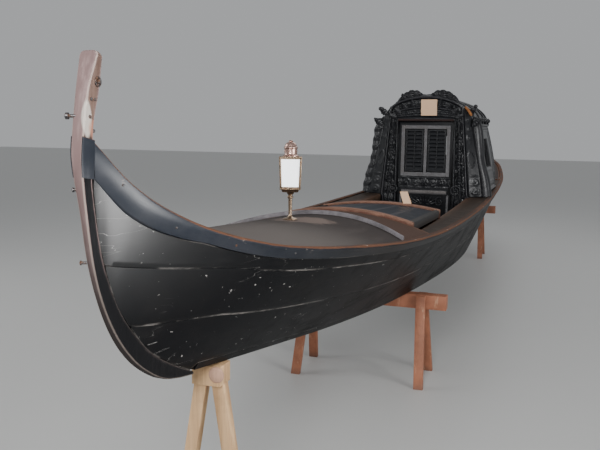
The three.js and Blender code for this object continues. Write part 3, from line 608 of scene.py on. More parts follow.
def carved_gloss(colours):
    finish = Finish("carved_gloss_black")
    high = finish.worn()
    patchy = finish.noise(14.0, 5.0, 0.65)
    dust = finish.step(finish.noise(5.0, 5.0, 0.7), 0.5, 0.75)
    rubbed = finish.step(high + (patchy - 0.5) * 0.9, 0.62, 1.0)
    base = finish.mix(dust * 0.5, colours.carving_black, (0.026, 0.026, 0.029))
    # High points of the carving are paler: partly rubbed paint, partly a painted highlight.
    base = finish.mix(rubbed * 0.4, base, (0.060, 0.058, 0.064))
    finish.bump(patchy * 0.9 + finish.noise(70.0, 3.0) * 0.3, 0.0015)
    return finish.done(Base_Color=base, Roughness=0.30 + dust * 0.2, Specular_IOR_Level=0.4)


def leather_black(colours):
    finish = Finish("cushion_black_leather")
    pores = finish.node("ShaderNodeTexVoronoi", {"feature": "DISTANCE_TO_EDGE"}, {
        "Vector": finish.place(), "Scale": 260.0})
    creases = finish.noise(9.0, 6.0, 0.65)
    rubbed = finish.step(finish.worn() + creases * 0.4, 0.7, 1.1)
    base = finish.mix(rubbed, colours.leather, (0.05, 0.04, 0.034))
    finish.bump(finish.step(pores, 0.0, 0.25) * 0.35 + creases, 0.0012)
    return finish.done(Base_Color=base, Roughness=0.40 + creases * 0.15, Sheen_Weight=0.1)


def lantern_metal(name, bright, dull):
    finish = Finish(name)
    tarnish = finish.step(finish.noise(45.0, 6.0, 0.7), 0.4, 0.68)
    base = finish.mix(tarnish * 0.75, bright, dull)
    finish.bump(finish.noise(120.0, 4.0), 0.0004)
    return finish.done(Base_Color=base, Roughness=0.22 + tarnish * 0.25, Metallic=1.0)


def lantern_pane():
    finish = Finish("lantern_pane_painted_glow")
    haze = finish.noise(30.0, 3.0)
    base = finish.mix(finish.step(haze, 0.3, 0.7), (0.92, 0.92, 0.93), (0.80, 0.81, 0.83))
    # The panes glow so that they look white: this glow is painted light.
    return finish.done(
        Base_Color=base, Roughness=0.08 + haze * 0.08, Emission_Color=(0.9, 0.92, 0.95),
        Emission_Strength=1.7, Alpha=0.93)


def plain_iron():
    finish = Finish("small_iron")
    rust = finish.step(finish.noise(90.0, 5.0, 0.7), 0.42, 0.62)
    base = finish.mix(rust, (0.12, 0.12, 0.125), (0.10, 0.045, 0.022))
    finish.bump(finish.noise(200.0, 3.0), 0.0003)
    return finish.done(Base_Color=base, Roughness=0.38 + rust * 0.35, Metallic=1 - rust * 0.8)


def blank_card(colours):
    finish = Finish("blank_card")
    fibre = finish.noise(90.0, 5.0, 0.6)
    base = finish.mix(fibre * 0.35, colours.card, (0.66, 0.44, 0.28))
    finish.bump(fibre, 0.0002)
    return finish.done(Base_Color=base, Roughness=0.75)


def terracotta_boards(colours):
    finish = Finish("trestle_terracotta")
    grain = wood_grain(finish, 2)
    scuffs = finish.step(finish.noise(1.0, 6.0, 0.7, finish.stretched(16.0, 16.0, 5.0)), 0.56, 0.70)
    patchy = finish.noise(6.0, 5.0, 0.65)
    red = colours.trestle_red
    base = finish.mix(finish.step(patchy, 0.35, 0.7), red, dimmed(red, 0.62))
    base = finish.mix(scuffs * 0.55, base, (0.62, 0.38, 0.24))
    low = 1 - finish.step(finish.axis(2), 0.0, 0.06)
    base = finish.mix(low * 0.5, base, (0.10, 0.06, 0.045))
    finish.bump(grain + scuffs * 0.4, 0.0013)
    return finish.done(Base_Color=base, Roughness=0.48 + patchy * 0.18)


def studio_floor(colours):
    finish = Finish("studio_floor")
    base = finish.mix(finish.noise(3.0, 3.0) * 0.3, colours.floor, dimmed(colours.floor, 0.94))
    return finish.done(Base_Color=base, Roughness=0.5)


FINISHES = {}


def mix_finishes(colours):
    """Every finish by name, kept for the pieces that are built after it."""
    FINISHES.update(
        hull=hull_paint(colours),
        rail=rail_paint(colours),
        stem=stem_paint(colours),
        canvas=deck_canvas(colours),
        hatch=worn_paint("hatch_faded_blue", colours.hatch_blue, (0.050, 0.050, 0.058), 0, 0.48),
        arch=worn_paint("arch_worn_red", colours.arch_red, (0.22, 0.120, 0.085), 1, 0.5, 0.45),
        side_deck=worn_paint("side_deck_worn", colours.side_deck, (0.12, 0.072, 0.050), 0, 0.5),
        moulding=worn_paint("moulding_grey", colours.moulding_grey, (0.25, 0.17, 0.13), 1, 0.5, 0.7, 1.0),
        carving=carved_gloss(colours),
        grey_frame=worn_paint("window_frame_grey", colours.grey_frame, (0.20, 0.185, 0.18), 2, 0.40),
        lintel=worn_paint("lintel_red_brown", (0.026, 0.014, 0.015), (0.05, 0.032, 0.030), 1, 0.4),
        bare_orange=raw_wood("bare_orange_wood", (0.40, 0.17, 0.06), (0.22, 0.085, 0.035), 1, 0.5),
        inside=raw_wood("inside_oiled_boards", colours.inside_wood, (0.022, 0.013, 0.009), 0, 0.55),
        dark=raw_wood("dark_edging", (0.016, 0.015, 0.016), (0.030, 0.024, 0.020), 0, 0.4),
        leather=leather_black(colours),
        brass=lantern_metal("lantern_tarnished_brass", colours.brass, (0.17, 0.095, 0.06)),
        copper=lantern_metal("lantern_copper", (0.60, 0.40, 0.34), (0.30, 0.19, 0.16)),
        pane=lantern_pane(),
        iron=plain_iron(),
        card=blank_card(colours),
        trestle=terracotta_boards(colours),
        pine=raw_wood("prop_bare_pine", colours.pine, (0.40, 0.245, 0.13), 2, 0.6),
        pad=raw_wood("prop_worn_pad", (0.52, 0.33, 0.24), (0.36, 0.22, 0.155), 2, 0.7),
        floor=studio_floor(colours),
    )


# Shapes and softened edges
class Shape:
    """Points and faces of one piece, with how worn each point is."""

    def __init__(self):
        self.points = []
        self.faces = []
        self.wear = []

    def add(self, points, faces, wear):
        start = len(self.points)
        self.points.extend(tuple(p) for p in points)
        self.faces.extend([start + i for i in face] for face in faces)
        self.wear.extend(wear if isinstance(wear, list) else [wear] * len(points))

    def loft(self, sections, wear=0.0, closed=False):
        """Skin through closed sections of one length, capped at its ends unless it runs round on itself."""
        count, rings = len(sections[0]), len(sections)
        faces = []
        for i in range(rings if closed else rings - 1):
            near, far = i * count, (i + 1) % rings * count
            for j in range(count):
                k = (j + 1) % count
                faces.append((near + j, near + k, far + k, far + j))
        if not closed:
            faces.append(tuple(reversed(range(count))))
            faces.append(tuple(range((rings - 1) * count, rings * count)))
        self.add([p for section in sections for p in section], faces, wear)

    def slab(self, front, back, wear):
        """Closed body between two grids of points of one size."""
        sections = [list(a) + list(reversed(b)) for a, b in zip(front, back)]
        self.loft(sections, wear)

    def block(self, low, high):
        (x0, y0, z0), (x1, y1, z1) = low, high
        ring = [(x0, y0), (x1, y0), (x1, y1), (x0, y1)]
        self.loft([[(x, y, z) for x, y in ring] for z in (z0, z1)])

    def tube(self, path, radius, sides=8, wear=0.0):
        """Round bar along a path, with one radius or one for each point."""
        path = [Vector(p) for p in path]
        radii = radius if isinstance(radius, list) else [radius] * len(path)
        side = None
        sections = []
        for i, point in enumerate(path):
            ahead = (path[min(i + 1, len(path) - 1)] - path[max(i - 1, 0)]).normalized()
            if side is None:
                side = ahead.orthogonal().normalized()
            side = (side - ahead * side.dot(ahead)).normalized()
            up = ahead.cross(side)
            sections.append([
                point + (side * math.cos(a) + up * math.sin(a)) * radii[i]
                for a in (2 * math.pi * k / sides for k in range(sides))])
        self.loft(sections, wear)

    def turned(self, centre, profile, sides, axis=(0, 0, 1), wear=0.0):
        """Turned form: radius and distance along the axis from the centre."""
        up = Vector(axis).normalized()
        side = up.orthogonal().normalized()
        other = up.cross(side)
        centre = Vector(centre)
        self.loft([[
            centre + up * along + (side * math.cos(a) + other * math.sin(a)) * max(radius, 0.0002)
            for a in (2 * math.pi * k / sides for k in range(sides))] for radius, along in profile], wear)

    def ball(self, centre, radius, sides, squash=1.0, axis=(0, 0, 1), wear=0.0):
        steps = sides // 2
        profile = [(radius * math.sin(math.pi * i / steps), -radius * squash * math.cos(math.pi * i / steps))
                   for i in range(steps + 1)]
        self.turned(centre, profile, sides, axis, wear)

    def make(self, name, finish, slot, body="boat", stands_for=(), bevel=0.0, sharp=40):
        """Turns the gathered points into a piece that rides on a body."""
        mesh = bpy.data.meshes.new(name)
        mesh.from_pydata(self.points, [], self.faces)
        mesh.attributes.new("worn", "FLOAT", "POINT").data.foreach_set("value", self.wear)
        skin = bmesh.new()
        skin.from_mesh(mesh)
        bmesh.ops.recalc_face_normals(skin, faces=skin.faces)
        skin.to_mesh(mesh)
        skin.free()
        mesh.materials.append(FINISHES[finish])
        mesh.shade_smooth()
        mesh.set_sharp_from_angle(angle=math.radians(sharp))
        made = bpy.data.objects.new(name, mesh)
        bpy.context.scene.collection.objects.link(made)
        if bevel:
            round_edges(made, bevel)
        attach(made, body)
        if stands_for:
            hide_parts(*stands_for)
        return made


EDGE_ANGLE = math.radians(35)


def round_edges(shown, width):
    modifier = shown.modifiers.new("rounded edges", "BEVEL")
    modifier.width = width
    modifier.segments = 2
    modifier.limit_method = "ANGLE"
    modifier.angle_limit = EDGE_ANGLE
    modifier.use_clamp_overlap = True


def node_group(name):
    """Geometry node group with a way in and a way out, which its maker links."""
    group = bpy.data.node_groups.new(name, "GeometryNodeTree")
    group.interface.new_socket("Geometry", in_out="INPUT", socket_type="NodeSocketGeometry")
    group.interface.new_socket("Geometry", in_out="OUTPUT", socket_type="NodeSocketGeometry")
    return group, group.nodes.new("NodeGroupInput"), group.nodes.new("NodeGroupOutput")


def welded_group():
    """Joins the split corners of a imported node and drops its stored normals."""
    group, way_in, way_out = node_group("welded corners")
    merge = group.nodes.new("GeometryNodeMergeByDistance")
    merge.inputs["Distance"].default_value = 0.00002
    drop = group.nodes.new("GeometryNodeRemoveAttribute")
    drop.inputs["Name"].default_value = "custom_normal"
    group.links.new(way_in.outputs[0], merge.inputs["Geometry"])
    group.links.new(merge.outputs["Geometry"], drop.inputs["Geometry"])
    group.links.new(drop.outputs["Geometry"], way_out.inputs[0])
    return group


def softened_group():
    """Shades smooth, but for edges sharper than about 35 degrees."""
    group, way_in, way_out = node_group("softened shading")
    faces = group.nodes.new("GeometryNodeSetShadeSmooth")
    edges = group.nodes.new("GeometryNodeSetShadeSmooth")
    edges.domain = "EDGE"
    angle = group.nodes.new("GeometryNodeInputMeshEdgeAngle")
    blunt = group.nodes.new("FunctionNodeCompare")
    blunt.data_type = "FLOAT"
    blunt.operation = "LESS_THAN"
    blunt.inputs["B"].default_value = EDGE_ANGLE
    group.links.new(way_in.outputs[0], faces.inputs["Geometry"])
    group.links.new(faces.outputs["Geometry"], edges.inputs["Geometry"])
    group.links.new(angle.outputs["Unsigned Angle"], blunt.inputs["A"])
    group.links.new(blunt.outputs["Result"], edges.inputs["Shade Smooth"])
    group.links.new(edges.outputs["Geometry"], way_out.inputs[0])
    return group


def dress(node, finish, bevel=0.0):
    """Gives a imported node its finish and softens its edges, with its own mesh left alone."""
    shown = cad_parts[node]
    if len(shown.data.materials):
        shown.data.materials[0] = FINISHES[finish]
    else:
        shown.data.materials.append(FINISHES[finish])
    groups = bpy.data.node_groups
    weld = shown.modifiers.new("welded", "NODES")
    weld.node_group = groups.get("welded corners") or welded_group()
    if bevel:
        flat = shown.modifiers.new("flat faces", "DECIMATE")
        flat.decimate_type = "DISSOLVE"
        flat.angle_limit = math.radians(0.6)
        round_edges(shown, bevel)
    soft = shown.modifiers.new("softened", "NODES")
    soft.node_group = groups.get("softened shading") or softened_group()


# Hull planking, posts, rails and bottom
def strake_section(aft, low, high, side, groove):
    """Ring round a strake at one station, its outer edges cut back by the groove."""
    end = from_end(aft)
    bottom = rabbet_height(end) - 0.002 if end < low[0] else seam_height(low, end)
    top = seam_height(high, end) - 0.0005
    height = top - bottom
    lip, band = min(groove, height / 5), min(0.016, height / 3)
    levels = [bottom, bottom + lip, bottom + band, bottom + height / 2, top - band, top - lip, top]
    insets = [lip, 0.0, 0.0, 0.0, 0.0, 0.0, lip]
    outer = [(x_at(aft), side * (side_half(end, z) - inset), z) for z, inset in zip(levels, insets)]
    inner = [(x_at(aft), side * max(0.004, side_half(end, z) - PLANK), z) for z in (top, bottom)]
    return outer + inner


STRAKE_WEAR = [1.0, 1.0, 0.0, 0.0, 0.0, 1.0, 1.0, 0.0, 0.0]


def build_planking(sizes):
    thirds = ("fore_", "middle_", "aft_")
    strakes = (("garboard", thirds), ("middle_strake", thirds), ("upper_strake", ("",)))
    for (name, lengths), low, high in zip(strakes, SEAMS, SEAMS[1:]):
        start = high[0] + 0.004
        stations = mirrored_stations((start, 0.01), (start + 0.12, 0.03), (start + 0.5, sizes.station_step))
        for side_name, side in SIDES:
            shape = Shape()
            sections = [strake_section(aft, low, high, side, sizes.seam_groove) for aft in stations]
            shape.loft(sections, STRAKE_WEAR * len(sections))
            nodes = [f"{name}_{part}{side_name}" for part in lengths]
            shape.make(f"{name}_planks_{side_name}", "hull", "hull_paint", stands_for=nodes)


def build_bottom():
    shape = Shape()
    planks = 5
    for i in range(planks):
        a, b = 2 * i / planks - 1, 2 * (i + 1) / planks - 1
        sections = []
        for aft in spread(BOTTOM_START, LENGTH - BOTTOM_START, 0.12):
            end = from_end(aft)
            x, z = x_at(aft), chine_height(end)
            half, top_half = chine_half(end), side_half(end, z + BOTTOM_THICKNESS)
            starboard, port = a * half + BOTTOM_SEAM * (i > 0), b * half - BOTTOM_SEAM * (i < planks - 1)
            sections.append([
                (x, starboard, z + 0.001), (x, port, z + 0.001),
                (x, b * top_half, z + BOTTOM_THICKNESS), (x, a * top_half, z + BOTTOM_THICKNESS)])
        shape.loft(sections, 0.2)
    shape.make("bottom_planks", "hull", "hull_paint",
               stands_for=("bottom_fore", "bottom_middle", "bottom_aft"), bevel=0.0012)


# Wear of each point round a post's section. The values near 0.78 also place the painted highlight along its
# edges.
POST_WEAR_AND_HIGHLIGHT = [1.0, 1.0, 1.0, 0.78, 0.12, 0.0, 0.76, 0.6, 0.6, 0.76, 0.0, 0.12, 0.78]


def post_shape(rows, stern):
    """Stem or sternpost: fair sections with eased edges and a rounded top, worn along the fore face, and
    marked for a painted highlight along the edges of its faces.
    """
    columns = [curve([(i, row[k]) for i, row in enumerate(rows)], 1) for k in range(6)]
    sections = []
    for i in spread(0, len(rows) - 1, 0.14):
        front_end, front_z, back_end, back_z, front, back = (column(i) for column in columns)
        a = Vector((x_at(aft_of(front_end, stern)), 0, front_z))
        b = Vector((x_at(aft_of(back_end, stern)), 0, back_z))
        ease = POST_EASE / max(0.01, (b - a).length)
        flank = 2.2 * ease
        port = [(0, front - POST_EASE), (ease, front + (back - front) * ease),
                (flank, front + (back - front) * flank), (0.55, (front + back) / 2),
                (1 - ease, back), (1, back - POST_EASE)]
        starboard = [(share, -y) for share, y in reversed(port)]
        ring = [starboard[-1], (0, 0)] + port + starboard[:-1]
        sections.append([a + (b - a) * share + Vector((0, y, 0)) for share, y in ring])
    head = sections[0]
    middle = sum(head, Vector()) / len(head)
    for shrink, rise in ((0.95, 0.004), (0.86, 0.008), (0.70, 0.0115), (0.45, 0.0135)):
        sections.insert(0, [middle + (p - middle) * shrink + Vector((0, 0, rise)) for p in head])
    shape = Shape()
    shape.loft(sections, POST_WEAR_AND_HIGHLIGHT * len(sections))
    return shape


def build_posts():
    post_shape(STEM, False).make("stem_timber", "stem", "hull_paint", stands_for=("stem",))
    post_shape(STERNPOST_HEAD + STEM[2:], True).make(
        "sternpost_timber", "stem", "hull_paint", stands_for=("sternpost",))


def build_stem_iron():
    """Ring and bolts left in the stem's head, bolts down its starboard side, and nails in the rails."""
    iron = Shape()
    ring_x, ring_z, ring_radius = 5.2154, 1.8091, 0.011
    ring = [(ring_x + ring_radius * math.cos(a), 0.0235, ring_z + ring_radius * math.sin(a))
            for a in spread(0, 6.1, 0.4)]
    iron.tube(ring, 0.0028)
    iron.turned((ring_x, 0.018, ring_z), [
        (0.0, 0.0), (0.006, 0.0), (0.006, 0.010), (0.004, 0.012), (0.0, 0.012)], 10, (0, 1, 0))
    for x, z in ((5.2431, 1.7647), (5.2283, 1.7636), (5.2360, 1.6844), (5.2500, 1.7200)):
        iron.turned((x, 0.0185, z), [
            (0.0, 0.0), (0.0045, 0.0), (0.0045, 0.004), (0.002, 0.006), (0.0, 0.006)], 10, (0, 1, 0))
    iron.turned((5.2640, -0.010, 1.7213), [
        (0.0, 0.0), (0.0045, 0.0), (0.0045, 0.018), (0.009, 0.019), (0.009, 0.026), (0.004, 0.029),
        (0.0, 0.029)], 12, (0.35, -1, 0))
    for x, y, z in ((5.2650, -0.006, 1.535), (5.2434, -0.005, 1.3425)):
        iron.turned((x, y, z), [
            (0.0, 0.0), (0.004, 0.0), (0.004, 0.012), (0.0065, 0.013), (0.0065, 0.017), (0.0, 0.019)],
            10, (0.6, -1, 0))
    for aft, drop in ((0.135, 0.030), (0.300, 0.040), (0.520, 0.030), (0.800, 0.026)):
        for _, side in SIDES:
            z = sheer_height(aft) - drop
            iron.ball((x_at(aft), side * (side_half(aft, z) + rail_proud(aft)), z), 0.004, 8)
    iron.make("stem_nails_and_bolt", "iron", "hull_paint")


def rail_section(aft, side):
    """Ring round a rail at one station, with its upper edges rounded."""
    end = from_end(aft)
    top = sheer_height(end)
    bottom = top - rail_depth(end)
    proud = rail_proud(end)
    outer = sheer_half(end) + proud
    inner = max(0.003, sheer_half(end) - RAIL_INBOARD)
    low = max(inner + 0.006, side_half(end, bottom) + proud)
    ring = [
        (inner, bottom), (low - 0.003, bottom), (low, bottom + 0.003),
        (low + (outer - low) * 0.55, (bottom + top) / 2), (outer, top - 0.012), (outer - 0.002, top - 0.004),
        (outer - 0.007, top), ((outer + inner) / 2, top + 0.0005), (inner + 0.004, top), (inner, top - 0.004)]
    return [(x_at(aft), side * max(y, 0.002), z) for y, z in ring]


def rail_end(shape, side, stern):
    """End of a rail, laid over the side of its post and flush with the rail behind it."""
    upward = STEM[::-1]
    front_end, back_end, front_half, back_half = (
        curve([(row[h], row[k]) for row in upward], 1) for h, k in ((1, 0), (3, 2), (1, 4), (3, 5)))
    rail_top = sheer_height(RAIL_START)
    rail_bottom = rail_top - rail_depth(RAIL_START)
    outer, inner, wear = [], [], []
    levels = spread(0.0, 1.0, 0.08)
    for share in (0.02, 0.05, 0.12, 0.3, 0.5, 0.7, 0.9, 1.04):
        top = rail_top + 0.010 * (1 - share)
        bottom = rail_bottom + 0.006 * (1 - share)
        column_out, column_in = [], []
        for level in levels:
            z = top + (bottom - top) * level
            end = front_end(z) + (back_end(z) - front_end(z)) * share
            y = front_half(z) + (back_half(z) - front_half(z)) * share
            flush = sheer_half(RAIL_START) + 0.0005 - y
            lift = RAIL_END_LIFT * min(1.0, share / 0.12)
            lift += max(0.0, flush - RAIL_END_LIFT) * max(0.0, share - 0.3) / 0.7
            x = x_at(aft_of(end, stern))
            column_out.append((x, side * (y + lift), z))
            column_in.append((x, side * (y - 0.002), z))
            wear.append(0.9 if level == 0 else 0.1)
        wear += [0.0] * len(levels)
        outer.append(column_out)
        inner.append(column_in)
    shape.slab(outer, inner, wear)


RAIL_WEAR = [0.0, 0.1, 0.15, 0.1, 0.45, 1.0, 1.0, 0.75, 1.0, 0.8]


def build_rails(sizes):
    stations = mirrored_stations((RAIL_START, 0.025), (RABBET_END, sizes.station_step))
    for side_name, side in SIDES:
        shape = Shape()
        shape.loft([rail_section(aft, side) for aft in stations], RAIL_WEAR * len(stations))
        for stern in (False, True):
            rail_end(shape, side, stern)
        shape.make(f"rail_{side_name}", "rail", "rail_paint", stands_for=(f"sheer_rail_{side_name}",))


# Decks, hatch, arched beams and mouldings
def deck_sheet(start, stop):
    """Deck that follows the camber, worn within a rim's width of its edges."""
    steps = 28
    front, back, wear = [], [], []
    for aft in spread(start, stop, 0.05):
        end = from_end(aft)
        half = deck_half(end)
        across = [half * (2 * i / steps - 1) for i in range(steps + 1)]
        near_end = min(abs(aft - start), abs(aft - stop))
        front.append([(x_at(aft), y, deck_height(end, y)) for y in across])
        back.append([(x_at(aft), y, deck_height(end, y) - DECK_THICKNESS) for y in across])
        rim = [max(0.0, 1 - min(half - abs(y), near_end) / DECK_RIM) for y in across]
        wear += rim + rim[::-1]
    shape = Shape()
    shape.slab(front, back, wear)
    return shape


def build_decks():
    for name, start, stop in (("foredeck", DECK_START, FORE_ARCH_AFT - HAIR_GAP),
                              ("aft_deck", STERN_ARCH_AFT + ARCH_WIDTH + HAIR_GAP, LENGTH - DECK_START)):
        deck_sheet(start, stop).make(f"{name}_canvas", "canvas", "deck_canvas", stands_for=(name,))


def arch_shape(aft, half):
    """Arched beam across the boat with rounded upper edges."""
    end = from_end(aft + ARCH_WIDTH / 2)
    ring = [(0.0, ARCH_DEPTH), (0.0, 0.010), (0.004, 0.003), (0.012, 0.0), (ARCH_WIDTH - 0.012, 0.0),
            (ARCH_WIDTH - 0.004, 0.003), (ARCH_WIDTH, 0.010), (ARCH_WIDTH, ARCH_DEPTH)]
    worn = [0.0, 0.7, 1.0, 1.0, 0.9, 1.0, 0.7, 0.0]
    across = spread(-half, half, 0.03)
    shape = Shape()
    rows = [[(x_at(aft + dx), y, deck_height(end, y) + ARCH_LIP - dz) for dx, dz in ring] for y in across]
    shape.loft(rows, worn * len(across))
    return shape


def build_arches():
    arches = (("fore_arch", FORE_ARCH_AFT), ("well_arch", WELL_ARCH_AFT), ("stern_arch", STERN_ARCH_AFT))
    for name, aft in arches:
        arch_shape(aft, OPENING_HALF - 0.001).make(f"{name}_beam", "arch", "worn_red", stands_for=(name,))


def build_hatch():
    """Six boards along the boat between two side bars, laid to the camber."""
    stations = spread(FORE_ARCH_AFT + ARCH_WIDTH + HAIR_GAP, WELL_ARCH_AFT - HAIR_GAP, 0.08)
    shape = Shape()
    boards, gap, thickness = 6, 0.001, 0.034
    half = OPENING_HALF - 0.003
    edge = 0.034
    width = 2 * half - 2 * edge
    for i in range(boards):
        low = -half + edge + width * i / boards + gap
        high = -half + edge + width * (i + 1) / boards - gap
        across = spread(low, high, 0.03)
        rows = [[(x_at(aft), y, deck_height(from_end(aft), y) + 0.004) for y in across] for aft in stations]
        below = [[(x, y, z - thickness) for x, y, z in row] for row in rows]
        worn = [1.0 if k in (0, len(across) - 1) else 0.25 for k in range(len(across))]
        shape.slab(rows, below, (worn + worn[::-1]) * len(rows))
    shape.make("hatch_boards", "hatch", "hatch_paint", stands_for=("hatch_cover",))
    bars = Shape()
    for _, side in SIDES:
        ring = [(half - edge, -0.030), (half - edge, 0.010), (half - edge + 0.004, 0.015),
                (half - 0.004, 0.015), (half, 0.010), (half, -0.030)]
        rows = [[(x_at(aft), side * y, deck_height(from_end(aft), y) + z) for y, z in ring]
                for aft in stations]
        bars.loft(rows, [0.0, 0.6, 1.0, 1.0, 0.6, 0.0] * len(stations))
    bars.make("hatch_side_bars", "dark", "hatch_paint")


def build_foredeck_moulding():
    """Half-round across the foredeck, bowed forward at its ends."""
    aft_at_middle, bow, width, height = 2.107, 0.215, 0.026, 0.022
    middle = deck_half(aft_at_middle)
    profile = [(-0.5, 0.0), (-0.48, 0.72), (-0.34, 0.94), (0.0, 1.0), (0.34, 0.94), (0.48, 0.72), (0.5, 0.0)]
    sections = []
    for share in spread(-0.97, 0.97, 0.03):
        y = share * (middle - 0.014)
        aft = aft_at_middle - bow * share * share
        sections.append([(x_at(aft + s * width), y, deck_height(aft + s * width, y) + 0.0012 + up * height)
                         for s, up in profile])
    shape = Shape()
    shape.loft(sections, 0.4)
    shape.make("foredeck_half_round", "moulding", "grey_moulding", stands_for=("foredeck_moulding",))


def build_side_decks():
    """Boards beside the wells, with a fascia hung inside each opening."""
    stations = spread(FORE_ARCH_AFT + HAIR_GAP, STERN_ARCH_AFT + ARCH_WIDTH - HAIR_GAP, 0.1)
    for side_name, side in SIDES:
        shape = Shape()
        sections = []
        for aft in stations:
            end = from_end(aft)
            top, outer = deck_edge(end), deck_half(end)
            ring = [(OPENING_HALF, top - DECK_THICKNESS), (OPENING_HALF, top - 0.006),
                    (OPENING_HALF + 0.002, top - 0.0015), (OPENING_HALF + 0.007, top), (outer - 0.02, top),
                    (outer, top), (outer, top - DECK_THICKNESS)]
            sections.append([(x_at(aft), side * y, z) for y, z in ring])
        shape.loft(sections, [0.2, 0.8, 1.0, 0.7, 0.15, 0.5, 0.0] * len(stations))
        shape.make(f"side_deck_boards_{side_name}", "side_deck", "side_deck_brown",
                   stands_for=(f"side_deck_{side_name}",))
        fascia = Shape()
        for low, high in ((WELL_ARCH_AFT + ARCH_WIDTH + 0.002, CABIN_FRONT - 0.046),
                          (CABIN_BACK + 0.006, STERN_ARCH_AFT - 0.004)):
            inner, outer = OPENING_HALF - 0.014, OPENING_HALF - 0.001
            ring = [(inner, -0.052), (inner, -0.003), (outer, -0.003), (outer, -0.052)]
            rows = [[(x_at(aft), side * y, deck_edge(from_end(aft)) + z) for y, z in ring]
                    for aft in spread(low, high, 0.1)]
            fascia.loft(rows, [0.5, 0.9, 0.9, 0.0] * len(rows))
        fascia.make(f"well_fascia_{side_name}", "side_deck", "side_deck_brown", bevel=0.0015)


def inside_half(end, z):
    return side_half(end, z) - PLANK - 0.001


def build_well(sizes):
    """Bulkheads, floorboards, and the ribs that show inside the wells."""
    dress("well_bulkhead", "arch", 0.0015)
    dress("stern_bulkhead", "inside", 0.0015)
    boards = 8
    shape = Shape()
    stations = spread(WELL_ARCH_AFT + 0.036, STERN_ARCH_AFT + 0.006, 0.15)
    low = FLOOR_TOP - 0.020
    for i in range(boards):
        sections = []
        for aft in stations:
            half = inside_half(from_end(aft), low) - 0.004
            a = (2 * i / boards - 1) * half + 0.0018
            b = (2 * (i + 1) / boards - 1) * half - 0.0018
            sections.append([(x_at(aft), a, low), (x_at(aft), b, low),
                             (x_at(aft), b, FLOOR_TOP), (x_at(aft), a, FLOOR_TOP)])
        shape.loft(sections, 0.3)
    shape.make("floor_planks", "inside", "inside_wood", stands_for=("floorboards",), bevel=0.0015)
    ribs = Shape()
    half_width, deep = 0.014, 0.020
    wells = ((WELL_ARCH_AFT + 0.20, CABIN_FRONT - 0.05), (CABIN_BACK + 0.12, STERN_ARCH_AFT - 0.1))
    for aft in (aft for well in wells for aft in spread(*well, sizes.rib_spacing)):
        end = from_end(aft)
        fore, rear = x_at(aft - half_width), x_at(aft + half_width)
        for _, side in SIDES:
            rows = []
            for z in spread(FLOOR_TOP + 0.001, deck_edge(end) - DECK_THICKNESS - 0.003, 0.04):
                outer = side * inside_half(end, z)
                inner = side * (inside_half(end, z) - deep)
                rows.append([(fore, outer, z), (rear, outer, z), (rear, inner, z), (fore, inner, z)])
            ribs.loft(rows, 0.4)
    ribs.make("well_ribs", "inside", "inside_wood", bevel=0.002)


# Carving of the cabin
FRONT_FOOT = 0.720
SIDE_FOOT = 1.082
CORNER_TOP = 1.925
OVAL_HEIGHT = 1.430
FRONT_CARVING_LENGTH = 3.0
CARVING_BACK = 0.004
FORWARD = Vector((1, 0, 0))
AFTWARD = Vector((-1, 0, 0))


def ridge(offset, half_width):
    """Half-round section: 1 at its middle, 0 at half its width."""
    s = offset / half_width
    return math.sqrt(1 - s * s) if abs(s) < 1 else 0.0


def foliage(along, across, cell):
    """Running scroll with lobed leaves: along in metres, across from -1 to 1, height from 0 to 1."""
    turn = math.floor(along / cell)
    u = (along / cell - turn) * 2 - 1
    flip = 1 if turn % 2 else -1
    r = math.hypot(u, across)
    angle = math.atan2(across * flip, u)
    swirl = math.cos(angle + 5.2 * math.log(r + 0.14))
    lobes = math.cos(6 * angle - 7 * r)
    body = max(0.0, 1 - r**2.2)
    eye = max(0.0, 1 - (r / 0.22) ** 2)
    return body * (0.30 + 0.42 * max(0.0, swirl) + 0.18 * max(0.0, lobes)) + 0.4 * eye


def rubbed(relief, full=0.018):
    """Wear and painted highlight of carving from its height over its ground, 1 where it stands highest."""
    return min(1.0, relief / full)


def rectangle(low, high):
    """Corners of an upright rectangle, with the first one again at the end."""
    return [low, (high[0], low[1]), high, (low[0], high[1]), low]


def path_points(corners, step):
    """Points along a broken line, no further apart than the step, with the corners kept."""
    points = [Vector(corners[0])]
    for a, b in zip(corners, corners[1:]):
        a, b = Vector(a), Vector(b)
        count = max(1, math.ceil((b - a).length / step))
        points += [a + (b - a) * i / count for i in range(1, count + 1)]
    return points


def resampled(corners, count):
    """A number of points along a broken line, evenly by length."""
    lengths = [0.0]
    for a, b in zip(corners, corners[1:]):
        lengths.append(lengths[-1] + (Vector(b) - Vector(a)).length)
    points = []
    k = 0
    for i in range(count):
        at = lengths[-1] * i / (count - 1)
        while k < len(corners) - 2 and lengths[k + 1] < at:
            k += 1
        width = lengths[k + 1] - lengths[k] or 1.0
        points.append(Vector(corners[k]).lerp(Vector(corners[k + 1]), (at - lengths[k]) / width))
    return points


def carved_ring(shape, inner, outer, surface, height, columns, closed=False):
    """Relief between two outlines of the same number of points.

    surface(u, v, h) places a point at a height over its ground. height(along, across) gives the relief in
    metres, with along measured half way between the outlines and across from 0, inner, to 1, outer.
    """
    sections, wear = [], []
    along = 0.0
    before = None
    for a, b in zip(inner, outer):
        middle = (a + b) / 2
        if before is not None:
            along += (middle - before).length
        before = middle
        row = []
        for k in range(columns + 1):
            share = k / columns
            relief = height(along, share)
            at = a.lerp(b, share)
            row.append(surface(at[0], at[1], 0.001 + relief))
            wear.append(rubbed(relief))
        row += [surface(b[0], b[1], -CARVING_BACK), surface(a[0], a[1], -CARVING_BACK)]
        wear += [0.0, 0.0]
        sections.append(row)
    shape.loft(sections, wear, closed)


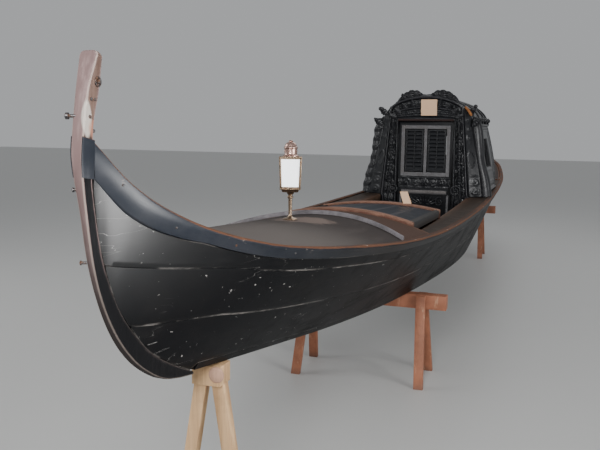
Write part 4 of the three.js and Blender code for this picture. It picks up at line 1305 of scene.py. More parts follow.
def corner_half(z):
    """Half breadth of the front's flat part, where the corners start."""
    if z < SIDE_FOOT:
        return OPENING_HALF - 0.018
    return OPENING_HALF - 0.006 - 0.095 * (z - CABIN_SIDE[0][0])


def arch_half(z):
    """Half breadth of the front's elliptical arch at a height above the eaves."""
    s = (z - EAVES_TOP) / ROOF_RISE
    return FRONT_EAVES_HALF * math.sqrt(max(0.0, 1 - s * s))


def front_surface(y, z, h):
    return (FRONT_X + h, y, z)


def corner_surface(side):
    """Maps a share of the corner's width, a height and a relief to a point on its slanting face."""
    def place(u, z, h):
        inner = corner_half(z)
        outer = cabin_front_half(z) if z <= EAVES_TOP else max(inner + 0.001, arch_half(z))
        run = outer - inner
        slant = math.hypot(run, CORNER_DEPTH)
        y = inner + run * u + h * CORNER_DEPTH / slant
        return (FRONT_X - CORNER_DEPTH * u + h * run / slant, side * y, z)
    return place


def front_outlines(step):
    """The doorway's edge and the line of the corners and arch, both from starboard over the top to port."""
    inner = [(-DOORWAY_HALF, FRONT_FOOT), (-DOORWAY_HALF, DOORWAY_TOP),
             (DOORWAY_HALF, DOORWAY_TOP), (DOORWAY_HALF, FRONT_FOOT)]
    shoulder = next(z for z in spread(EAVES_TOP, ROOF_TOP, 0.002) if arch_half(z) <= corner_half(z))
    side = [(corner_half(z), z) for z in [FRONT_FOOT, SIDE_FOOT - 0.01] + spread(SIDE_FOOT, shoulder, 0.05)]
    start = math.acos(corner_half(shoulder) / FRONT_EAVES_HALF)
    over = [(FRONT_EAVES_HALF * math.cos(angle), EAVES_TOP + ROOF_RISE * math.sin(angle))
            for angle in spread(start, math.pi - start, 0.06)]
    outer = [(-y, z) for y, z in side] + over[::-1][1:-1] + side[::-1]
    count = int(FRONT_CARVING_LENGTH / step)
    return resampled(inner, count), resampled(outer, count)


def front_relief(depth):
    def height(along, share):
        relief = 0.013 * ridge(share - 0.10, 0.075) + 0.016 * ridge(share - 0.53, 0.055)
        relief += 0.018 * ridge(share - 0.93, 0.07)
        if 0.18 < share < 0.48:
            band = (share - 0.33) / 0.15
            ribs = 0.55 + 0.45 * math.cos(band * math.pi * 3)
            relief += depth * (0.35 * ribs + 0.65 * foliage(along, band, 0.075))
        elif 0.585 < share < 0.86:
            band = (share - 0.7225) / 0.1375
            relief += depth * foliage(along + 0.04, band, 0.10)
        return relief
    return height


def corner_relief(depth):
    def height(along, share):
        z = SIDE_FOOT + along
        relief = 0.010 * ridge(share - 0.06, 0.06) + 0.004 * ridge(share - 0.94, 0.05)
        oval = math.hypot((share - 0.42) / 0.20, (z - OVAL_HEIGHT) / 0.060)
        if oval < 1:
            return relief - 0.014
        relief += 0.004 * ridge(oval - 1.18, 0.16)
        if abs(z - OVAL_HEIGHT) > 0.15 and 0.12 < share < 0.88:
            relief += depth * 0.55 * foliage(along, (share - 0.5) / 0.38, 0.085)
        return relief
    return height


def leaf(shape, base, tip, normal, width, curl, lobes=4):
    """Lobed leaf from its base to its tip, ridged down the middle and curled out along the normal."""
    base, tip = Vector(base), Vector(tip)
    ahead = tip - base
    side = normal.cross(ahead).normalized()
    rows, cols, thickness = 22, 8, 0.006
    front, back, wear = [], [], []
    for i in range(rows + 1):
        s = i / rows
        envelope = math.sin(math.pi * min(1.0, s * 0.93 + 0.07)) ** 0.7 * (1 - 0.35 * s)
        scallop = 0.72 + 0.28 * abs(math.cos(math.pi * lobes * s))
        half = width / 2 * envelope * scallop + 0.002
        centre = base + ahead * s + normal * (curl * s * s)
        upper, lower = [], []
        for j in range(cols + 1):
            t = 2 * j / cols - 1
            rise = (1 - abs(t)) * 0.5 + 0.5 * abs(math.cos(math.pi * lobes * s + 2.0 * abs(t)))
            sweep = ahead * (abs(t) * 0.06)
            at = centre + side * (half * t) + sweep
            upper.append(at + normal * (thickness * (0.5 + rise)))
            lower.append(at - normal * thickness * 0.2)
            wear.append(min(1.0, rise))
        wear += [0.0] * (cols + 1)
        front.append(upper)
        back.append(lower)
    shape.slab(front, back, wear)


def scroll(shape, centre, radius, turns, flip, bar, start):
    """Flat spiral of a tapering round bar on a face that looks forward, with a ball at its eye."""
    centre = Vector(centre)
    path, radii = [], []
    for t in spread(0.0, 1.0, 0.03):
        angle = start + 2 * math.pi * turns * t
        r = radius * (1 - 0.86 * t)
        path.append(centre + Vector((bar * 0.4, flip * r * math.cos(angle), r * math.sin(angle))))
        radii.append(bar * (1 - 0.5 * t))
    shape.tube(path, radii, wear=0.8)
    shape.ball(centre + FORWARD * bar * 0.6, bar * 1.15, 10, wear=1.0)


EAR_OUTLINE = [
    # height, half breadth of the carved foliage beside the cabin's front
    (1.084, 0.640),
    (1.178, 0.626),
    (1.245, 0.614),
    (1.361, 0.579),
    (1.424, 0.561),
    (1.577, 0.545),
    (1.700, 0.530),
    (1.819, 0.500),
]
ear_half = curve(EAR_OUTLINE, 1)


def build_front_carving(sizes):
    """Carved bands round the doorway and on the slanting corners."""
    depth, step = sizes.carving_depth, sizes.carving_step
    dress("cabin_front", "carving", 0.003)
    shape = Shape()
    inner, outer = front_outlines(step)
    carved_ring(shape, inner, outer, front_surface, front_relief(depth), 44)
    for _, side in SIDES:
        levels = spread(SIDE_FOOT + 0.004, CORNER_TOP, step)
        flat = [Vector((0.0, z)) for z in levels]
        far = [Vector((1.0, z)) for z in levels]
        carved_ring(shape, flat, far, corner_surface(side), corner_relief(depth), 24)
    shape.make("front_carving", "carving", "carved_black", sharp=55)


def build_front_ears(sizes):
    """Foliage beside the front: scrolls to starboard, a plain rounded board to port."""
    ears = Shape()
    foot, top, columns = EAR_OUTLINE[0][0], 1.815, 12
    for _, side in SIDES:
        rows, wear = [], []
        for z in spread(foot, top, sizes.carving_step * 1.2):
            inner_y = cabin_front_half(z) - 0.012
            if z > EAVES_TOP:
                inner_y = arch_half(z) - 0.004
            lobe = 0.007 * abs(math.sin(z * 23)) + 0.003 * math.sin(z * 71) if side < 0 else 0.004
            outer_y = ear_half(z) - 0.012 + lobe
            row = []
            for k in range(columns + 1):
                share = k / columns
                y = inner_y + (outer_y - inner_y) * share
                if side < 0:
                    relief = 0.014 * foliage(z + 0.3, share * 1.8 - 0.9, 0.09)
                else:
                    relief = 0.014 * ridge(share - 0.45, 0.50)
                relief += 0.006 * ridge(share - 0.9, 0.12)
                row.append((FRONT_X - CORNER_DEPTH + 0.008 + relief - 0.040 * share**2, side * y, z))
                wear.append(rubbed(relief))
            row += [(FRONT_X - CORNER_DEPTH - 0.048, side * outer_y, z),
                    (FRONT_X - CORNER_DEPTH - 0.014, side * inner_y, z)]
            wear += [0.2, 0.0]
            rows.append(row)
        ears.loft(rows, wear)
    ears.make("front_side_foliage", "carving", "carved_black", sharp=55)


def build_front_ornaments():
    """Free leaves, scrolls and knobs that break the front's outline."""
    shape = Shape()
    for _, side in SIDES:
        def at(proud, y, z):
            return Vector((FRONT_X + proud, side * y, z))

        leaf(shape, at(-0.03, 0.385, 1.845), at(-0.03, 0.445, 1.905), FORWARD, 0.075, 0.02)
        shape.ball(at(-0.03, 0.438, 1.900), 0.026, 12, 0.9, wear=0.8)
        leaf(shape, at(-0.03, 0.430, 1.745), at(-0.03, 0.505, 1.812), FORWARD, 0.070, 0.015)
        scroll(shape, at(0.010, 0.300, 1.128), 0.052, 1.6, side, 0.009, 0.6)
        leaf(shape, at(0.010, 0.335, 1.180), at(0.012, 0.330, 1.300), FORWARD, 0.055, 0.02)
        for z, size in ((1.62, 0.05), (1.50, 0.045), (1.38, 0.05)):
            leaf(shape, at(0.008, 0.325, z - size), at(0.010, 0.318, z + size), FORWARD, 0.050, 0.012, 3)
        for angle in (0.35, 0.62, 0.90, 1.18):
            base = at(0.010, 0.300 * math.cos(angle), EAVES_TOP + 0.175 * math.sin(angle))
            tip = at(0.012, 0.370 * math.cos(angle), EAVES_TOP + 0.245 * math.sin(angle))
            leaf(shape, base, tip, FORWARD, 0.060, 0.018)
    for side, z in ((1, 1.928), (-1, 1.905)):
        shape.ball((FRONT_X - 0.03, side * 0.452, z), 0.020, 12, wear=0.8)
    shape.make("front_leaves_and_knobs", "carving", "carved_black", sharp=60)
    bare = Shape()
    path = [(FRONT_X - 0.004, FRONT_EAVES_HALF * math.cos(a) + 0.006,
             EAVES_TOP + ROOF_RISE * math.sin(a) + 0.006) for a in spread(0.28, 0.62, 0.04)]
    bare.tube(path, [0.006] + [0.012] * (len(path) - 2) + [0.006], wear=0.5)
    bare.make("bare_shoulder_edge", "bare_orange", "worn_red")


CREST_HUMPS = (
    # middle, half width, rise
    (-0.160, 0.118, 0.050),
    (0.178, 0.138, 0.054),
)


def crest_top(y):
    """Height of the cresting over the arch."""
    rise, ripple = 0.008, 0.3
    for middle, half, height in CREST_HUMPS:
        s = (y - middle) / half
        if abs(s) < 1:
            rise += height * (1 - s * s) ** 0.8
            ripple = 1.0
    return rise + 0.009 * abs(math.sin(y * 52)) * ripple


def build_cresting(sizes):
    """Carved board along the top of the front's arch, with three leaves on each hump."""
    shape = Shape()
    rows, wear = [], []
    columns = 12
    for y in spread(-0.30, 0.33, sizes.carving_step):
        foot = EAVES_TOP + ROOF_RISE * math.sqrt(1 - (y / FRONT_EAVES_HALF) ** 2) - 0.006
        top = foot + 0.006 + crest_top(y)
        row, back = [], []
        for k in range(columns + 1):
            share = k / columns
            z = foot + (top - foot) * share
            relief = 0.016 * foliage(y + 0.5, share * 1.7 - 0.85, 0.075) + 0.004
            row.append((FRONT_X - 0.012 + relief * (1 - share**4), y, z))
            wear.append(rubbed(relief, 0.016))
        for share, drop in ((1.0, 0.002), (0.5, 0.0), (0.0, 0.0)):
            back.append((FRONT_X - 0.034, y, foot + (top - foot) * share - drop))
            wear.append(0.1)
        rows.append(row + back)
    shape.loft(rows, wear)
    for side in (-1, 1):
        for foot, tip, low, high, width in (
                (0.155, 0.158, 2.000, 2.076, 0.080), (0.103, 0.073, 1.990, 2.045, 0.060),
                (0.207, 0.237, 1.990, 2.045, 0.060)):
            leaf(shape, (FRONT_X - 0.008, side * foot, low), (FRONT_X - 0.006, side * tip, high),
                 FORWARD, width, 0.012)
    shape.make("cresting_carved", "carving", "carved_black", stands_for=("cresting",), sharp=60)


def wall_surface(side):
    def place(aft, z, h):
        return (x_at(aft), side * (cabin_half(aft, z) + h), z)
    return place


WALL_FORE = CABIN_FRONT + CORNER_DEPTH + 0.004
WALL_REAR = CABIN_BACK - 0.040
SIDE_WINDOW = rectangle((5.900, 1.340), (6.260, 1.620))
WALL_BORDER = rectangle((WALL_FORE, 1.094), (WALL_REAR, 1.752))


def build_wall_carving(sizes):
    """Raised mouldings and a carved band round the window of each side wall."""
    for node in ("cabin_side_port", "cabin_side_starboard", "cabin_roof", "cabin_back"):
        dress(node, "carving")

    def height(along, share):
        relief = 0.010 * ridge(share - 0.10, 0.09) + 0.008 * ridge(share - 0.93, 0.06)
        relief += 0.005 * ridge(share - 0.62, 0.05)
        if 0.68 < share < 0.86:
            relief += sizes.carving_depth * 0.7 * foliage(along, (share - 0.77) / 0.09, 0.09)
        return relief

    def outline(corners):
        steps = 80
        return [point for pair in zip(corners, corners[1:]) for point in resampled(pair, steps + 1)[:-1]]

    inner, outer = outline(SIDE_WINDOW), outline(WALL_BORDER)
    for side_name, side in SIDES:
        shape = Shape()
        carved_ring(shape, inner, outer, wall_surface(side), height, 36, closed=True)
        shape.make(f"cabin_wall_carving_{side_name}", "carving", "carved_black", sharp=55)


def build_cabin_trim():
    """Mouldings at the eaves and the sills, knobs along the eaves, and ribs over the roof."""
    trim = Shape()
    for _, side in SIDES:
        for z, radius in ((EAVES_TOP + 0.004, 0.013), (1.100, 0.011)):
            path = [(x_at(aft), side * (cabin_half(aft, z) + 0.004), z)
                    for aft in spread(WALL_FORE, WALL_REAR + 0.03, 0.05)]
            trim.tube(path, radius, 10, 0.6)
        for aft in spread(WALL_FORE + 0.10, WALL_REAR - 0.04, 0.28):
            y = cabin_half(aft, EAVES_TOP) + 0.012
            trim.turned((x_at(aft), side * y, EAVES_TOP + 0.008), [
                (0.0, 0.0), (0.012, 0.002), (0.012, 0.010), (0.007, 0.016), (0.019, 0.026),
                (0.024, 0.040), (0.021, 0.054), (0.012, 0.062), (0.006, 0.068), (0.0, 0.074)], 14, wear=0.7)
    for aft in (CABIN_FRONT + 0.20, CABIN_FRONT + 0.62, CABIN_BACK - 0.30, CABIN_BACK - 0.02):
        half = cabin_half(aft, EAVES_TOP) + 0.002
        path = [(x_at(aft), half * math.cos(a), EAVES_TOP + ROOF_RISE * math.sin(a) + 0.002)
                for a in spread(0.02, math.pi - 0.02, 0.08)]
        trim.tube(path, 0.010, wear=0.5)
    trim.make("cabin_eaves_and_roof_ribs", "carving", "carved_black")


def build_cabin_back():
    """Mouldings round the back's window and panel, with rows of leaves above and below the window."""
    back = Shape()
    back_x = x_at(CABIN_BACK)
    for low_half, top_half, low, top, radius in (
            (0.145, 0.145, 1.415, 1.655, 0.012), (0.40, 0.352, 1.16, 1.80, 0.009)):
        ring = [(-low_half, low), (low_half, low), (top_half, top), (-top_half, top), (-low_half, low)]
        back.tube([(back_x - 0.003, y, z) for y, z in path_points(ring, 0.03)], radius, wear=0.6)
    for k in range(5):
        y = (k - 2) * 0.16
        leaf(back, (back_x - 0.002, y, 1.70), (back_x - 0.004, y * 0.9, 1.79), AFTWARD, 0.10, 0.012)
        leaf(back, (back_x - 0.002, y, 1.36), (back_x - 0.004, y, 1.25), AFTWARD, 0.10, 0.012)
    back.make("cabin_back_mouldings", "carving", "carved_black")


# The door with its window frame, ledge and louvred shutters
DOOR_GROUND = DOOR_FACE + 0.0006


def build_window_frame(sizes):
    dress("cabin_door", "carving", 0.002)
    width = sizes.frame_width
    outer_half, inner_half = WINDOW_HALF + width, WINDOW_HALF - 0.0005
    bottom, top = WINDOW_BOTTOM - width - 0.004, WINDOW_TOP + width
    face = DOOR_GROUND + 0.009
    bars = Shape()
    bars.block((DOOR_GROUND, -outer_half, bottom), (face, -WINDOW_HALF, top))
    bars.block((DOOR_GROUND, WINDOW_HALF, bottom), (face, outer_half, top))
    bars.block((DOOR_GROUND, -inner_half, WINDOW_TOP), (face, inner_half, top))
    bars.block((DOOR_GROUND, -inner_half, bottom), (face, inner_half, WINDOW_BOTTOM))
    bars.block((DOOR_GROUND, -MULLION / 2, WINDOW_BOTTOM + 0.001),
               (DOOR_GROUND + 0.006, MULLION / 2, WINDOW_TOP - 0.001))
    bars.wear = [0.55] * len(bars.wear)
    bars.make("window_frame", "grey_frame", "carved_black", body="door", bevel=0.002)


def build_door_carving(sizes):
    """Carved band with a rosette under the window, and a fan of leaves between two scrolls below it."""
    carving = Shape()
    low, high, half, columns = 1.150, 1.250, 0.252, 16
    middle = (low + high) / 2
    rows, wear = [], []
    for y in spread(-half, half, sizes.carving_step * 0.8):
        row = []
        for k in range(columns + 1):
            share = k / columns
            z = low + (high - low) * share
            rosette = max(0.0, 1 - (math.hypot(y, z - middle) / 0.040) ** 2)
            petals = 0.6 + 0.4 * math.cos(8 * math.atan2(z - middle, y))
            relief = 0.010 * foliage(y + 0.30, share * 2 - 1, 0.085) + 0.016 * rosette * petals
            relief += 0.004 * ridge(share - 0.04, 0.05) + 0.004 * ridge(share - 0.96, 0.05)
            row.append((DOOR_FACE + 0.001 + relief, y, z))
            wear.append(rubbed(relief, 0.016))
        row += [(DOOR_FACE - CARVING_BACK, y, high), (DOOR_FACE - CARVING_BACK, y, low)]
        wear += [0.0, 0.0]
        rows.append(row)
    carving.loft(rows, wear)
    for index in range(9):
        angle = math.radians(20 + index * 17.5)
        base = Vector((DOOR_FACE + 0.004, 0.05 * math.cos(angle), 0.985 + 0.01 * math.sin(angle)))
        tip = base + Vector((0.014, 0.085 * math.cos(angle), 0.085 * math.sin(angle)))
        leaf(carving, base, tip, FORWARD, 0.026, 0.010, 2)
    for _, side in SIDES:
        scroll(carving, (DOOR_FACE + 0.006, side * 0.150, 1.020), 0.045, 1.5, side, 0.007, 1.2)
    carving.make("door_carving", "carving", "carved_black", body="door", sharp=55)


def build_door_ledge():
    """Moulded ledge over the door's lower panel, and the panel's three raised edges."""
    ledge = Shape()
    half, edge, foot, top = 0.215, 0.020, 0.800, 1.084
    face = DOOR_FACE + 0.007
    profile = [(0.0, 1.086), (0.018, 1.090), (0.030, 1.102), (0.034, 1.116), (0.034, 1.128), (0.0, 1.130)]
    rows = [[(DOOR_GROUND + dx, y, z) for dx, z in profile] for y in spread(-half, half, 0.03)]
    ledge.loft(rows, [0.0, 0.2, 0.6, 1.0, 0.7, 0.0] * len(rows))
    ledge.block((DOOR_GROUND, -half - edge, foot), (face, -half, top))
    ledge.block((DOOR_GROUND, half, foot), (face, half + edge, top))
    ledge.block((DOOR_GROUND, 0.0005 - half, foot), (face, half - 0.0005, foot + 0.022))
    ledge.make("door_ledge_and_panel", "grey_frame", "carved_black", body="door", bevel=0.001)


def build_lintel():
    lintel = Shape()
    profile = [(-0.004, 1.788), (0.016, 1.789), (0.022, 1.796), (0.020, 1.806), (0.002, 1.812)]
    rows = [[(FRONT_X + dx, y, z) for dx, z in profile] for y in spread(-0.262, 0.262, 0.03)]
    lintel.loft(rows, [0.2, 0.8, 1.0, 0.7, 0.2] * len(rows))
    lintel.make("doorway_lintel", "lintel", "carved_black")


def build_shutters(sizes):
    """Two leaves of sloping slats in a frame, each with a stick down its middle."""
    gap, stile, lap = 0.0065, 0.016, 0.001
    low, high = MULLION / 2 + gap, WINDOW_HALF - gap
    bottom, top = WINDOW_BOTTOM + gap, WINDOW_TOP - gap
    back, face = DOOR_FACE - 0.020, DOOR_FACE - 0.0005
    lean, deep, thick = 1.13, 0.0205, 0.002
    slats = round((top - bottom - 2 * stile) / sizes.slat_pitch)
    pitch = (top - bottom - 2 * stile) / slats
    out = Vector((math.cos(lean), 0, -math.sin(lean))) * deep
    up = Vector((math.sin(lean), 0, math.cos(lean))) * thick
    for side_name, side in SIDES:
        shape = Shape()
        for a, b, z0, z1 in ((low, low + stile, bottom, top), (high - stile, high, bottom, top),
                             (low + stile, high - stile, bottom, bottom + stile),
                             (low + stile, high - stile, top - stile, top)):
            y0, y1 = sorted((side * a, side * b))
            shape.block((back, y0, z0), (face, y1, z1))
        y0, y1 = sorted((side * (low + stile - lap), side * (high - stile + lap)))
        for i in range(slats):
            x, z = (back + face) / 2, bottom + stile + pitch * (i + 0.5)
            ring = (out + up, out - up, -out - up, -out + up)
            shape.loft([[(x + p.x, y, z + p.z) for p in ring] for y in (y0, y1)], 0.3)
        y = side * (low + high) / 2
        shape.block((face - 0.004, y - 0.005, bottom + 0.008), (face + 0.0008, y + 0.005, top - 0.008))
        shape.make(f"louvre_{side_name}", "carving", "carved_black",
                   body=f"{side_name}_leaf", stands_for=(f"shutter_{side_name}",), bevel=0.0008)


def build_cards():
    """Blank paper cards: one hung on the arch, one folded and stood on the well's beam."""
    shape = Shape()
    low, high, thickness = 1.840, 1.990, 0.0015
    rows = []
    for z in spread(low, high, 0.03):
        face = FRONT_X + 0.030 + 0.004 * math.sin((z - low) / (high - low) * math.pi)
        back = face - thickness
        slant = (z - low) * 0.02
        starboard, port = -0.045 - slant, 0.105 - slant
        rows.append([(face, starboard, z), (face, port, z), (back, port, z), (back, starboard, z)])
    shape.loft(rows)
    foot = deck_height(WELL_ARCH_AFT + 0.015, 0.2) + ARCH_LIP + 0.0005
    fold = (Vector((1.7805, 0.137, foot + 0.082)), Vector((1.7805, 0.192, foot + 0.085)))
    for x, inward in ((1.7930, Vector((-0.0012, 0, 0))), (1.7690, Vector((0.0012, 0, 0)))):
        edge = (Vector((x, 0.166, foot)), Vector((x, 0.222, foot)))
        out, back = inward * -0.2, inward * 0.8
        shape.loft([[edge[0], edge[1], edge[1] + inward, edge[0] + inward],
                    [fold[0] + out, fold[1] + out, fold[1] + back, fold[0] + back]])
    shape.make("blank_cards", "card", "carved_black")


# Bench and cushions inside the cabin
def cushion_shape(low, high, face, crown, buttons):
    """Crowned box cushion with pulled-in sides and rows of sewn buttons on its face.

    face is the axis that the padded face looks along: 2 for a seat, 0 for a back.
    """
    low, high = Vector(low), Vector(high)
    across, other = [k for k in range(3) if k != face]
    size = high - low
    columns, rows = 56, 36
    upper, lower, wear = [], [], []
    for i in range(rows + 1):
        v = i / rows
        top_row, bottom_row = [], []
        for j in range(columns + 1):
            u = j / columns
            rim_u, rim_v = min(u, 1 - u) * size[across], min(v, 1 - v) * size[other]
            ease = min(1.0, rim_u / 0.045) * 0.5 + 0.5
            edge = (1 - (1 - min(1.0, rim_u / 0.05)) ** 2) * (1 - (1 - min(1.0, rim_v / 0.05)) ** 2)
            dome = math.sin(math.pi * u) ** 0.6 * math.sin(math.pi * v) ** 0.6
            rise = size[face] - crown + crown * dome - (1 - math.sqrt(max(0.0, edge))) * size[face] * 0.38
            for bu, bv in buttons:
                gap = math.hypot((u - bu) * size[across], (v - bv) * size[other])
                rise -= 0.020 * math.exp(-((gap / 0.026) ** 2))
                pleat = abs((u - bu) * size[across]) + abs((v - bv) * size[other])
                rise -= 0.004 * math.exp(-((pleat / 0.05) ** 2)) * ease
            pull = 0.006 * (1 - dome)
            point, under = Vector(), Vector()
            point[across] = low[across] + pull + (size[across] - 2 * pull) * u
            point[other] = low[other] + pull + (size[other] - 2 * pull) * v
            under[across], under[other] = point[across], point[other]
            point[face] = low[face] + rise
            under[face] = low[face] + 0.012 * (1 - math.sqrt(max(0.0, edge)))
            top_row.append(point)
            bottom_row.append(under)
            wear.append(dome * 0.6)
        wear += [0.0] * (columns + 1)
        upper.append(top_row)
        lower.append(bottom_row)
    shape = Shape()
    shape.slab(upper, lower, wear)
    return shape


def build_seat(sizes):
    dress("bench", "inside", 0.003)
    grid = [(u, v) for u in (0.14, 0.32, 0.5, 0.68, 0.86) for v in (0.3, 0.7)]
    for node, face in (("seat_cushion", 2), ("back_cushion", 0)):
        low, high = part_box(node)
        buttons = [(v, u) for u, v in grid] if face == 2 else grid
        shape = cushion_shape(low, high, face, sizes.cushion_crown, buttons)
        made = shape.make(f"{node}_leather", "leather", "black_leather", stands_for=(node,), sharp=60)
        studs = Shape()
        across, other = [k for k in range(3) if k != face]
        for u, v in buttons:
            at, axis = Vector(), Vector()
            at[across] = low[across] + (high[across] - low[across]) * u
            at[other] = low[other] + (high[other] - low[other]) * v
            at[face] = high[face] - 0.027
            axis[face] = 1
            studs.ball(at, 0.011, 12, 0.5, axis)
        studs.make(f"{node}_buttons", "leather", "black_leather")


# Lantern on the foredeck
def build_lantern():
    """Turned post, four-sided case with panes, and a domed cap with a row of beads."""
    low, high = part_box("lantern_frame")
    x = (low.x + high.x) / 2
    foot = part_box("lantern_post")[0].z
    body_low, body_high = low.z, high.z
    post = Shape()
    post.turned((x, 0.0, foot), [
        (0.0, 0.0), (0.034, 0.0), (0.034, 0.003), (0.030, 0.006), (0.018, 0.009), (0.012, 0.013),
        (0.0085, 0.018), (0.0078, 0.024), (0.0084, 0.060), (0.0092, 0.090), (0.0096, 0.098), (0.0135, 0.101),
        (0.0145, 0.104), (0.0135, 0.107), (0.0100, 0.110), (0.0105, 0.116), (0.016, 0.121), (0.017, 0.1245),
        (0.016, 0.1262), (0.0, 0.1264)], 24, wear=0.5)
    post.make("lantern_turned_post", "brass", "lantern_brass", stands_for=("lantern_post",))
    top_half, bottom_half, bar = 0.052, 0.046, 0.009
    skirt = 0.016
    case_low = body_low + skirt
    turn = math.pi / 10

    def half_at(z):
        return bottom_half + (top_half - bottom_half) * (z - body_low) / (body_high - body_low)

    def square(half, z, corners=((-1, -1), (1, -1), (1, 1), (-1, 1))):
        """Ring of corners about the lantern's middle, turned with its body. A corner may be given inset."""
        points = [(a * half, b * half) for a, b in corners]
        return [(x + a * math.cos(turn) - b * math.sin(turn), a * math.sin(turn) + b * math.cos(turn), z)
                for a, b in points]

    case = Shape()
    for sx in (-1, 1):
        for sy in (-1, 1):
            rows = []
            for z in (case_low, body_high):
                inset = 1 - bar / half_at(z)
                rows.append(square(half_at(z), z, (
                    (sx, sy), (sx * inset, sy), (sx * inset, sy * inset), (sx, sy * inset))))
            case.loft(rows, 0.5)
    for z0, z1, size in ((case_low, case_low + 0.010, 1.0), (body_high - 0.012, body_high - 0.003, 1.0),
                         (case_low - 0.0025, case_low + 0.0015, 1.04), (body_high - 0.004, body_high, 1.03)):
        case.loft([square(min(half_at(z) * size, top_half), z) for z in (z0, z1)], 0.5)
    case.loft([square(half_at(body_low) * size, z) for size, z in (
        (0.62, body_low), (0.80, body_low + 0.002), (0.84, body_low + 0.009), (0.90, case_low - 0.003))], 0.3)
    case.make("lantern_case", "brass", "lantern_brass", stands_for=("lantern_frame",), bevel=0.0012)
    pane = Shape()
    pane.loft([square(half_at(z) - 0.005, z) for z in (case_low + 0.0105, body_high - 0.0125)])
    pane.make("lantern_panes", "pane", "lantern_pane", stands_for=("lantern_glass",))
    cap_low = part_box("lantern_cap")[0]
    cap = Shape()
    cap.turned((x, 0.0, cap_low.z), [
        (0.0, 0.0), (0.038, 0.0), (0.038, 0.003), (0.033, 0.005), (0.030, 0.009), (0.0295, 0.012),
        (0.0295, 0.034), (0.0315, 0.036), (0.0325, 0.039), (0.0315, 0.042), (0.0290, 0.044), (0.0275, 0.050),
        (0.0235, 0.0575), (0.0165, 0.0630), (0.0100, 0.0650), (0.0095, 0.0665), (0.0110, 0.0685),
        (0.0095, 0.0710), (0.0045, 0.0735), (0.0, 0.0740)], 28, wear=0.5)
    drum, bead_count = 0.0293, 10
    for k in range(bead_count):
        angle = 2 * math.pi * k / bead_count
        cap.ball((x + drum * math.cos(angle), drum * math.sin(angle), cap_low.z + 0.023), 0.0028, 8)
    cap.make("lantern_dome", "copper", "lantern_brass", stands_for=("lantern_cap",))


# Supports, studio and camera
def build_trestles():
    """Finish of the supports, and the rounded pad on the fore face of the prop's head."""
    for node, finish in (("trestle_middle", "trestle"), ("trestle_aft", "trestle"), ("bow_prop", "pine")):
        dress(node, finish, 0.003)
    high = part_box("bow_prop")[1]
    pad = Shape()
    pad.ball((high.x, 0.042, high.z - 0.029), 0.030, 24, 0.40, (1, 0, 0))
    pad.make("prop_head_pad", "pad", "prop_pine")


def build_stage():
    """Floor, even light from all round, and five soft lamps."""
    floor = bpy.data.meshes.new("studio_floor")
    reach = 40.0
    corners = [(-reach, -reach, 0), (reach, -reach, 0), (reach, reach, 0), (-reach, reach, 0)]
    floor.from_pydata(corners, [], [(0, 1, 2, 3)])
    floor.materials.append(FINISHES["floor"])
    ground = bpy.data.objects.new("studio_floor", floor)
    bpy.context.scene.collection.objects.link(ground)
    world = bpy.data.worlds.new("studio")
    world.use_nodes = True
    background = world.node_tree.nodes["Background"]
    background.inputs["Color"].default_value = (0.88, 0.90, 0.92, 1)
    background.inputs["Strength"].default_value = 0.46
    bpy.context.scene.world = world
    lamps = (
        # name, place, target, size, power, spread in degrees
        ("starboard light", (4.2, -6.5, 4.2), (2.0, 0.0, 1.0), 4.0, 160, 180),
        ("overhead light", (-3.0, 1.0, 6.0), (-1.5, 0.0, 1.2), 5.0, 110, 180),
        ("port light", (5.2, 5.4, 2.3), (1.2, 0.2, 1.4), 3.0, 210, 180),
        ("bow light", (8.6, 0.9, 3.0), (5.1, 0.0, 1.3), 1.6, 30, 60),
        ("low port light", (4.5, 3.9, 0.60), (5.2, 0.05, 1.45), 1.7, 7, 44),
    )
    for name, place, target, size, power, spread_angle in lamps:
        data = bpy.data.lights.new(name, "AREA")
        data.shape = "DISK"
        data.size = size
        data.energy = power
        data.spread = math.radians(spread_angle)
        lamp = bpy.data.objects.new(name, data)
        lamp.visible_camera = False
        lamp.location = place
        lamp.rotation_euler = (Vector(target) - Vector(place)).to_track_quat("-Z", "Y").to_euler()
        bpy.context.scene.collection.objects.link(lamp)


def build_camera():
    """Camera at the photograph's place and angle."""
    yaw, pitch, roll = 0.3313, 0.133, 0.0135
    ahead = Vector((-math.cos(yaw) * math.cos(pitch), -math.sin(yaw) * math.cos(pitch), -math.sin(pitch)))
    right = ahead.cross(Vector((0, 0, 1))).normalized()
    up = right.cross(ahead)
    right, up = right * math.cos(roll) + up * math.sin(roll), up * math.cos(roll) - right * math.sin(roll)
    data = bpy.data.cameras.new("photo_camera")
    data.sensor_width = 36.0
    data.lens = 42.966
    camera = bpy.data.objects.new("photo_camera", data)
    turn = Matrix((right, up, -ahead)).transposed()
    camera.matrix_world = Matrix.Translation((6.8026, 1.1190, 1.696)) @ turn.to_4x4()
    bpy.context.scene.collection.objects.link(camera)
    bpy.context.scene.camera = camera


# Operators
class GONDOLA_OT_finishes(bpy.types.Operator):
    """Mix every paint, wood, leather and metal finish"""

    bl_idname = "gondola.finishes"
    bl_label = "Mix finishes"

    def execute(self, context):
        mix_finishes(context.scene.gondola_colours)
        return {"FINISHED"}


class GONDOLA_OT_hull(bpy.types.Operator):
    """Build the planking, bottom, posts and sheer rails"""

    bl_idname = "gondola.hull"
    bl_label = "Build hull"

    def execute(self, context):
        sizes = context.scene.gondola_sizes
        build_planking(sizes)
        build_bottom()
        build_posts()
        build_stem_iron()
        build_rails(sizes)
        return {"FINISHED"}


class GONDOLA_OT_decks(bpy.types.Operator):
    """Build the decks, arched beams, hatch, mouldings and the inside of the wells"""

    bl_idname = "gondola.decks"
    bl_label = "Build decks and wells"

    def execute(self, context):
        sizes = context.scene.gondola_sizes
        build_decks()
        build_arches()
        build_hatch()
        build_foredeck_moulding()
        build_side_decks()
        build_well(sizes)
        return {"FINISHED"}


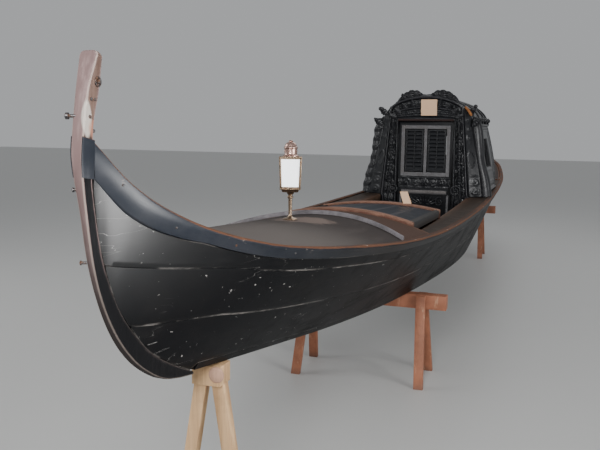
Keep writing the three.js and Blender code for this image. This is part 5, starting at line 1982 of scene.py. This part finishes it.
class GONDOLA_OT_cabin(bpy.types.Operator):
    """Build the carved cabin front, its cresting, walls, roof and back"""

    bl_idname = "gondola.cabin"
    bl_label = "Build cabin"

    def execute(self, context):
        sizes = context.scene.gondola_sizes
        build_front_carving(sizes)
        build_front_ears(sizes)
        build_front_ornaments()
        build_cresting(sizes)
        build_wall_carving(sizes)
        build_cabin_trim()
        build_cabin_back()
        build_cards()
        return {"FINISHED"}


class GONDOLA_OT_door(bpy.types.Operator):
    """Build the door's frame, carving and louvred shutters"""

    bl_idname = "gondola.door"
    bl_label = "Build door"

    def execute(self, context):
        sizes = context.scene.gondola_sizes
        build_window_frame(sizes)
        build_door_carving(sizes)
        build_door_ledge()
        build_lintel()
        build_shutters(sizes)
        return {"FINISHED"}


class GONDOLA_OT_seat(bpy.types.Operator):
    """Build the bench and its buttoned cushions"""

    bl_idname = "gondola.seat"
    bl_label = "Build seat"

    def execute(self, context):
        build_seat(context.scene.gondola_sizes)
        return {"FINISHED"}


class GONDOLA_OT_lantern(bpy.types.Operator):
    """Build the brass lantern on the foredeck"""

    bl_idname = "gondola.lantern"
    bl_label = "Build lantern"

    def execute(self, context):
        build_lantern()
        return {"FINISHED"}


class GONDOLA_OT_trestles(bpy.types.Operator):
    """Finish the trestles and the bow prop"""

    bl_idname = "gondola.trestles"
    bl_label = "Finish trestles"

    def execute(self, context):
        build_trestles()
        return {"FINISHED"}


class GONDOLA_OT_stage(bpy.types.Operator):
    """Set the floor, the soft lights and the camera"""

    bl_idname = "gondola.stage"
    bl_label = "Set stage"

    def execute(self, context):
        build_stage()
        build_camera()
        return {"FINISHED"}


class GONDOLA_PT_panel(bpy.types.Panel):
    """Buttons and settings of the gondola's pieces"""

    bl_idname = "GONDOLA_PT_panel"
    bl_label = "Gondola"
    bl_space_type = "VIEW_3D"
    bl_region_type = "UI"
    bl_category = "Gondola"

    def draw(self, context):
        for operator in OPERATORS:
            self.layout.operator(operator.bl_idname)
        for group in (context.scene.gondola_sizes, context.scene.gondola_colours):
            for name in group.__annotations__:
                self.layout.prop(group, name)


OPERATORS = (
    GONDOLA_OT_finishes,
    GONDOLA_OT_stage,
    GONDOLA_OT_hull,
    GONDOLA_OT_decks,
    GONDOLA_OT_cabin,
    GONDOLA_OT_door,
    GONDOLA_OT_seat,
    GONDOLA_OT_lantern,
    GONDOLA_OT_trestles,
)
CLASSES = (GondolaSizes, GondolaColours, *OPERATORS, GONDOLA_PT_panel)


def register():
    for cls in CLASSES:
        bpy.utils.register_class(cls)
    bpy.types.Scene.gondola_sizes = bpy.props.PointerProperty(type=GondolaSizes)
    bpy.types.Scene.gondola_colours = bpy.props.PointerProperty(type=GondolaColours)


def unregister():
    del bpy.types.Scene.gondola_colours
    del bpy.types.Scene.gondola_sizes
    for cls in reversed(CLASSES):
        bpy.utils.unregister_class(cls)


def main():
    register()
    bpy.ops.gondola.finishes()
    bpy.ops.gondola.stage()
    bpy.ops.gondola.hull()
    bpy.ops.gondola.decks()
    bpy.ops.gondola.cabin()
    bpy.ops.gondola.door()
    bpy.ops.gondola.seat()
    bpy.ops.gondola.lantern()
    bpy.ops.gondola.trestles()


if __name__ == "__main__":
    main()
